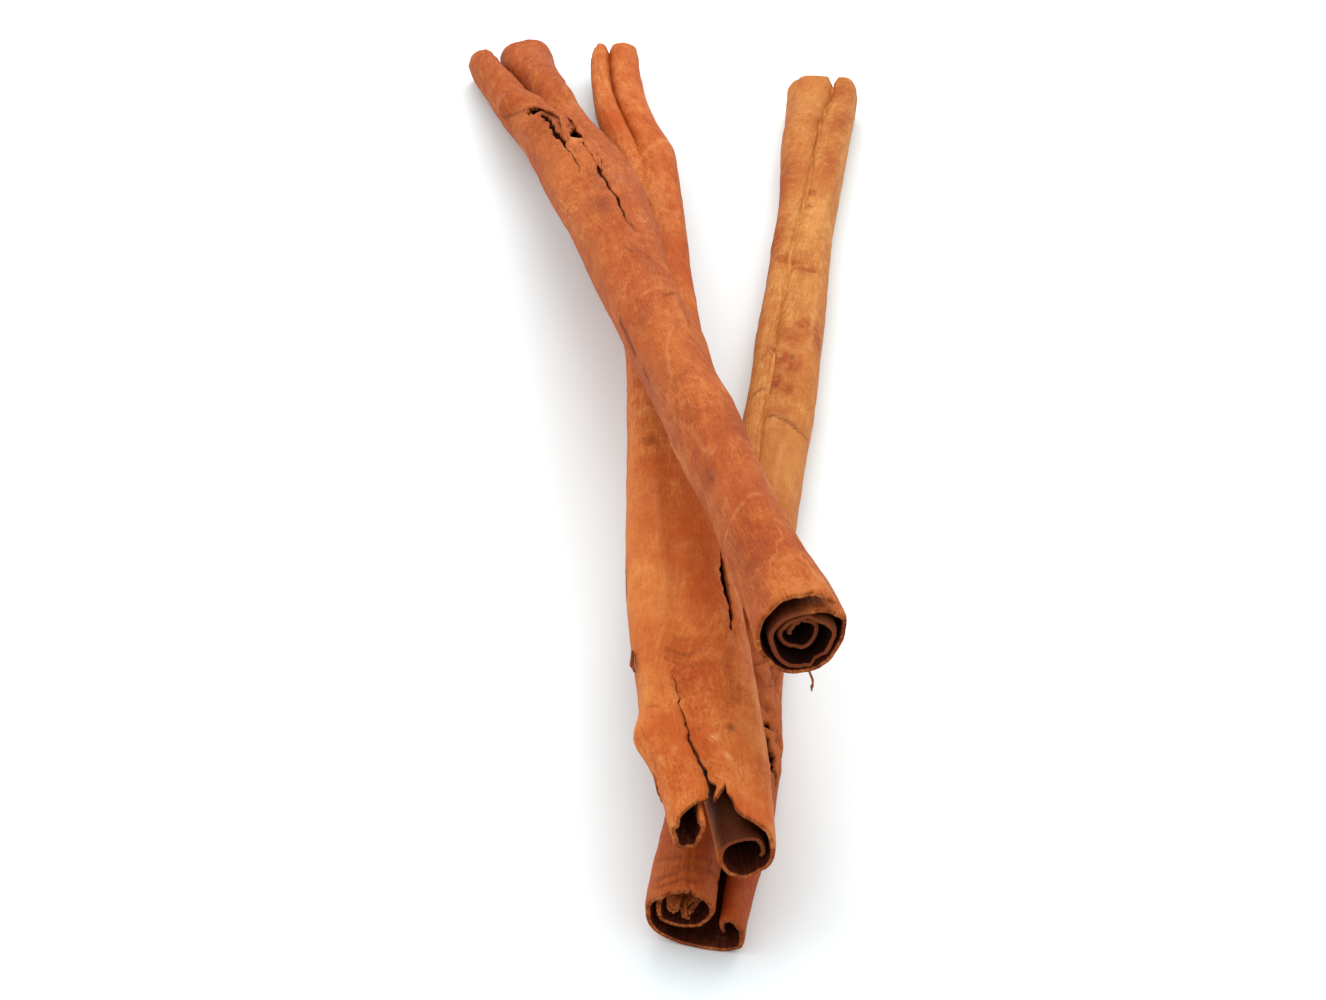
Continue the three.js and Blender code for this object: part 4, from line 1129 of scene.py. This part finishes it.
# Flakes are slivers and torn bits of bark: each runs along a path of turns and places along a
# stick, with its width and its lift off the middle of the bark given along that path.
flakeShape = {
    "columns": 8,
    "rows": 24,
    "thickness": 0.22,
    "ragged": 0.25,  # how much the width varies along a flake
    "raggedSize": 0.12,
    "slant": 0.002,  # how unevenly a flake ends
    "crumpleSize": 0.3,
}
flakes = {
    "tearSliver": {
        "stick": topStick, "path": [(-2.02, 27.0), (-2.14, 29.8), (-2.18, 32.8), (-2.06, 36.3), (-1.96, 40)],
        "widths": [0.4, 0.75, 0.8, 0.6, 0.2], "lifts": [0.2, 0.5, 0.5, 0.42, 0.15], "crumple": 0.05,
        "broken": False,
    },
    "tearStrip": {
        "stick": topStick, "path": [(-2.36, 30.5), (-2.38, 33.6), (-2.34, 37.3), (-2.26, 40.5)],
        "widths": [0.3, 0.8, 0.8, 0.3], "lifts": [0.25, 0.42, 0.42, 0.25], "crumple": 0.05, "broken": False,
    },
    "tearLip": {
        "stick": topStick, "path": [(-2.29, 39), (-2.24, 42), (-2.17, 46), (-2.12, 50)],
        "widths": [0.5, 0.9, 0.7, 0.2], "lifts": [0.3, 0.36, 0.32, 0.2], "crumple": 0.03, "broken": False,
    },
    "freeEdge": {
        "stick": topStick, "path": [(-2.26, 141.6), (-2.26, 143.4), (-2.2, 144.5)],
        "widths": [0.3, 0.8, 1.3], "lifts": [0.2, 0.32, 0.2], "crumple": 0.06, "broken": False,
    },
    "hair": {
        "stick": topStick, "path": [(0.1, 144.3), (0.12, 144.5), (0.09, 144.5)], "thickness": 0.1,
        "widths": [0.12, 0.09, 0.05], "lifts": [0.2, 1.2, 2.0], "crumple": 0.02, "broken": True,
    },
    "sideFlake": {
        "stick": middleStick, "path": [(-0.66, 131.8), (-0.74, 133.2), (-0.7, 134.4)],
        "widths": [0.2, 0.6, 0.2], "lifts": [0.28, 0.36, 0.28], "crumple": 0.03, "broken": True,
    },
    "endFlake": {
        "stick": middleStick, "path": [(-0.9, 149), (-1.04, 150.4), (-1.06, 151.8)],
        "widths": [0.2, 0.7, 0.3], "lifts": [0.28, 0.38, 0.28], "crumple": 0.03, "broken": True,
    },
    "ringFlakeLeft": {
        "stick": bottomStick, "path": [(-1.55, 141), (-1.5, 144.5), (-1.6, 146.8)],
        "widths": [1.6, 2.4, 2.0], "lifts": [-1.0, -1.15, -1.7], "crumple": 0.2, "broken": True,
    },
    "ringFlakeTop": {
        "stick": bottomStick, "path": [(-2.2, 141), (-2.25, 144.5), (-2.35, 147)],
        "widths": [2.0, 3.2, 2.6], "lifts": [-1.0, -1.3, -2.2], "crumple": 0.28, "broken": True,
    },
    "ringFlakeRight": {
        "stick": bottomStick, "path": [(-2.85, 142), (-2.8, 145), (-2.75, 146.6)],
        "widths": [1.2, 2.2, 1.8], "lifts": [-1.0, -1.15, -1.7], "crumple": 0.2, "broken": True,
    },
    "ringFlakeDeep": {
        "stick": bottomStick, "path": [(-1.9, 140), (-1.95, 143), (-2.05, 145.6)],
        "widths": [2.0, 3.0, 2.6], "lifts": [-1.4, -1.9, -2.6], "crumple": 0.25, "broken": True,
    },
}


def flatStrip(name, columns, rows):  # a flat strip, with how far across and along each point is
    strip = bmesh.new()
    bmesh.ops.create_grid(strip, x_segments=columns, y_segments=rows, size=0.5)
    mesh = meshFrom(strip, name)
    across, along = gridPlaces(mesh)
    return mesh, across, along + 0.5


def bentStrip(mesh, place, surface, material, thickness):
    shapeMesh(mesh, place, surface)
    piece = newPiece(mesh, [material])
    addWall(piece, thickness)
    return piece


def turnsAcross(stick, turn, v):  # quarter turns to a millimetre round the bark
    step = 0.05
    reach = sheetPlace(stick, turn + step, v, 0) - sheetPlace(stick, turn - step, v, 0)
    return 2 * step / np.linalg.norm(reach, axis=1)


def makeFlake(name, flake, material):
    mesh, across, along = flatStrip(name, flakeShape["columns"], flakeShape["rows"])
    stick, seed = flake["stick"], sum(map(ord, name))
    path, knots = np.array(flake["path"]), along * (len(flake["path"]) - 1)
    turn, lengths = splineValue(path[:, 0], knots), splineValue(path[:, 1], knots)
    v = lengths / (stick["farY"] - stick["nearY"])
    turnsPerMillimetre = turnsAcross(stick, turn, v)
    ragged = 1 + flakeShape["ragged"] * softNoise(along[:, None], (flakeShape["raggedSize"],), seed)
    turn += across * ragged * splineValue(flake["widths"], knots) * turnsPerMillimetre
    crumpleSize = flakeShape["crumpleSize"]
    v += flakeShape["slant"] * softNoise(across[:, None], (crumpleSize,), seed + 1) * along
    crumpled = softNoise(np.stack([across, along], axis=1), (crumpleSize, crumpleSize), seed + 2)
    lift = splineValue(flake["lifts"], knots) + flake["crumple"] * crumpled
    surface = np.stack([across * 2, lengths], axis=1) + seed
    thickness = flake.get("thickness", flakeShape["thickness"])
    return bentStrip(mesh, sheetPlace(stick, turn, v, lift), surface, material, thickness)


for name, flake in flakes.items():
    piece = makeFlake(name, flake, brokenRim if flake["broken"] else flake["stick"]["bark"])
    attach(piece, "root")
print("flakes made")

# The two rolled edges of the bottom stick meet along its top, where a strip of the layer below
# them closes the seam.
seam = {
    "from": 0.012,
    "to": 0.86,
    "sinks": [0.5, 0.15, 0.05, 0, -0.05, 0, 0, 0.05, 0.15, 0.3],  # at even steps along
    "columns": 8,
    "rows": 300,
    "thickness": 0.25,
    "ripple": 0.06,
    "rippleSizes": (0.5, 3),
    "draw": 40,
}


def makeSeam(name, stick, material):
    mesh, across, along = flatStrip(name, seam["columns"], seam["rows"])
    v = seam["from"] + (seam["to"] - seam["from"]) * along
    shares = keyShares(stick["windings"], v)
    lips = []
    for side, sign in (("left", -1), ("right", 1)):
        top, inner = (mixed(shares, [key[side]["radii"][i] for key in stick["windings"]]) for i in (2, 3))
        turn = sign * (2 + np.arctan2(inner, top) / quarterTurn)
        lips.append(sheetPlace(stick, turn, v, 0))
    place = lips[0] + (lips[1] - lips[0]) * (across + 0.5)[:, None]
    place[:, 2] -= splineValue(seam["sinks"], along * (len(seam["sinks"]) - 1))
    surface = np.stack([across, v * (stick["farY"] - stick["nearY"])], axis=1)
    place[:, 2] += seam["ripple"] * softNoise(surface, seam["rippleSizes"], stick["seed"] + seam["draw"])
    return bentStrip(mesh, place, surface, material, seam["thickness"])


piece = makeSeam("bottomSeam", bottomStick, bottomStick["bark"])
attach(piece, "root")
print("seam made")

# Floor, lights and camera, in metres but for the camera's place

studio = {
    "floorSize": 3.0,
    "floorColour": (0.81, 0.87, 0.88, 1),
    "floorRoughness": 0.9,
    "worldStrength": 1.03,
    "keyPlace": (0.14, 0.48, 0.68),
    "keySize": 0.7,
    "keyPower": 3.9,
    "fillPlace": (-0.42, 0.05, 0.5),
    "fillSize": 0.5,
    "fillPower": 0.9,
}
camera = {
    "place": (0.0, -248.7, 177.0),  # before the origin is moved to the footprint's middle
    "downTilt": 37,
    "sensorWidth": 36,
    "focalPixels": 2810,
    "frameWidth": 1326,  # in pixels
    "nearest": 0.01,
    "furthest": 20,
}


def makeFloor():
    ground = bmesh.new()
    bmesh.ops.create_grid(ground, x_segments=1, y_segments=1, size=studio["floorSize"] / 2)
    paper = bpy.data.materials.new("whitePaper")
    paper.use_nodes = True
    shader = paper.node_tree.nodes["Principled BSDF"]
    shader.inputs["Base Color"].default_value = studio["floorColour"]
    shader.inputs["Roughness"].default_value = studio["floorRoughness"]
    floor = newPiece(meshFrom(ground, "floor"), [paper])


def makeAreaLight(name, place, size, power):
    light = bpy.data.lights.new(name, "AREA")
    light.size = size
    light.energy = power
    lamp = bpy.data.objects.new(name, light)
    lamp.location = place
    lamp.rotation_euler = (-Vector(place)).to_track_quat("-Z", "Y").to_euler()
    bpy.context.scene.collection.objects.link(lamp)


def makeWorld():
    world = bpy.data.worlds.new("studio")
    world.use_nodes = True
    background = world.node_tree.nodes["Background"]
    background.inputs["Color"].default_value = (1, 1, 1, 1)
    background.inputs["Strength"].default_value = studio["worldStrength"]
    bpy.context.scene.world = world


def makeCamera():
    data = bpy.data.cameras.new("camera")
    data.sensor_width = camera["sensorWidth"]
    data.lens = camera["focalPixels"] * camera["sensorWidth"] / camera["frameWidth"]
    data.clip_start = camera["nearest"]
    data.clip_end = camera["furthest"]
    eye = bpy.data.objects.new("camera", data)
    eye.location = (Vector(camera["place"]) - Vector((*sheet["middle"], 0))) * millimetre
    eye.rotation_euler = (math.radians(90 - camera["downTilt"]), 0, 0)
    bpy.context.scene.collection.objects.link(eye)
    bpy.context.scene.camera = eye


makeFloor()
makeWorld()
makeAreaLight("keyLight", studio["keyPlace"], studio["keySize"], studio["keyPower"])
makeAreaLight("fillLight", studio["fillPlace"], studio["fillSize"], studio["fillPower"])
makeCamera()
bpy.context.scene.view_settings.view_transform = "Standard"
print("floor, lights and camera made")
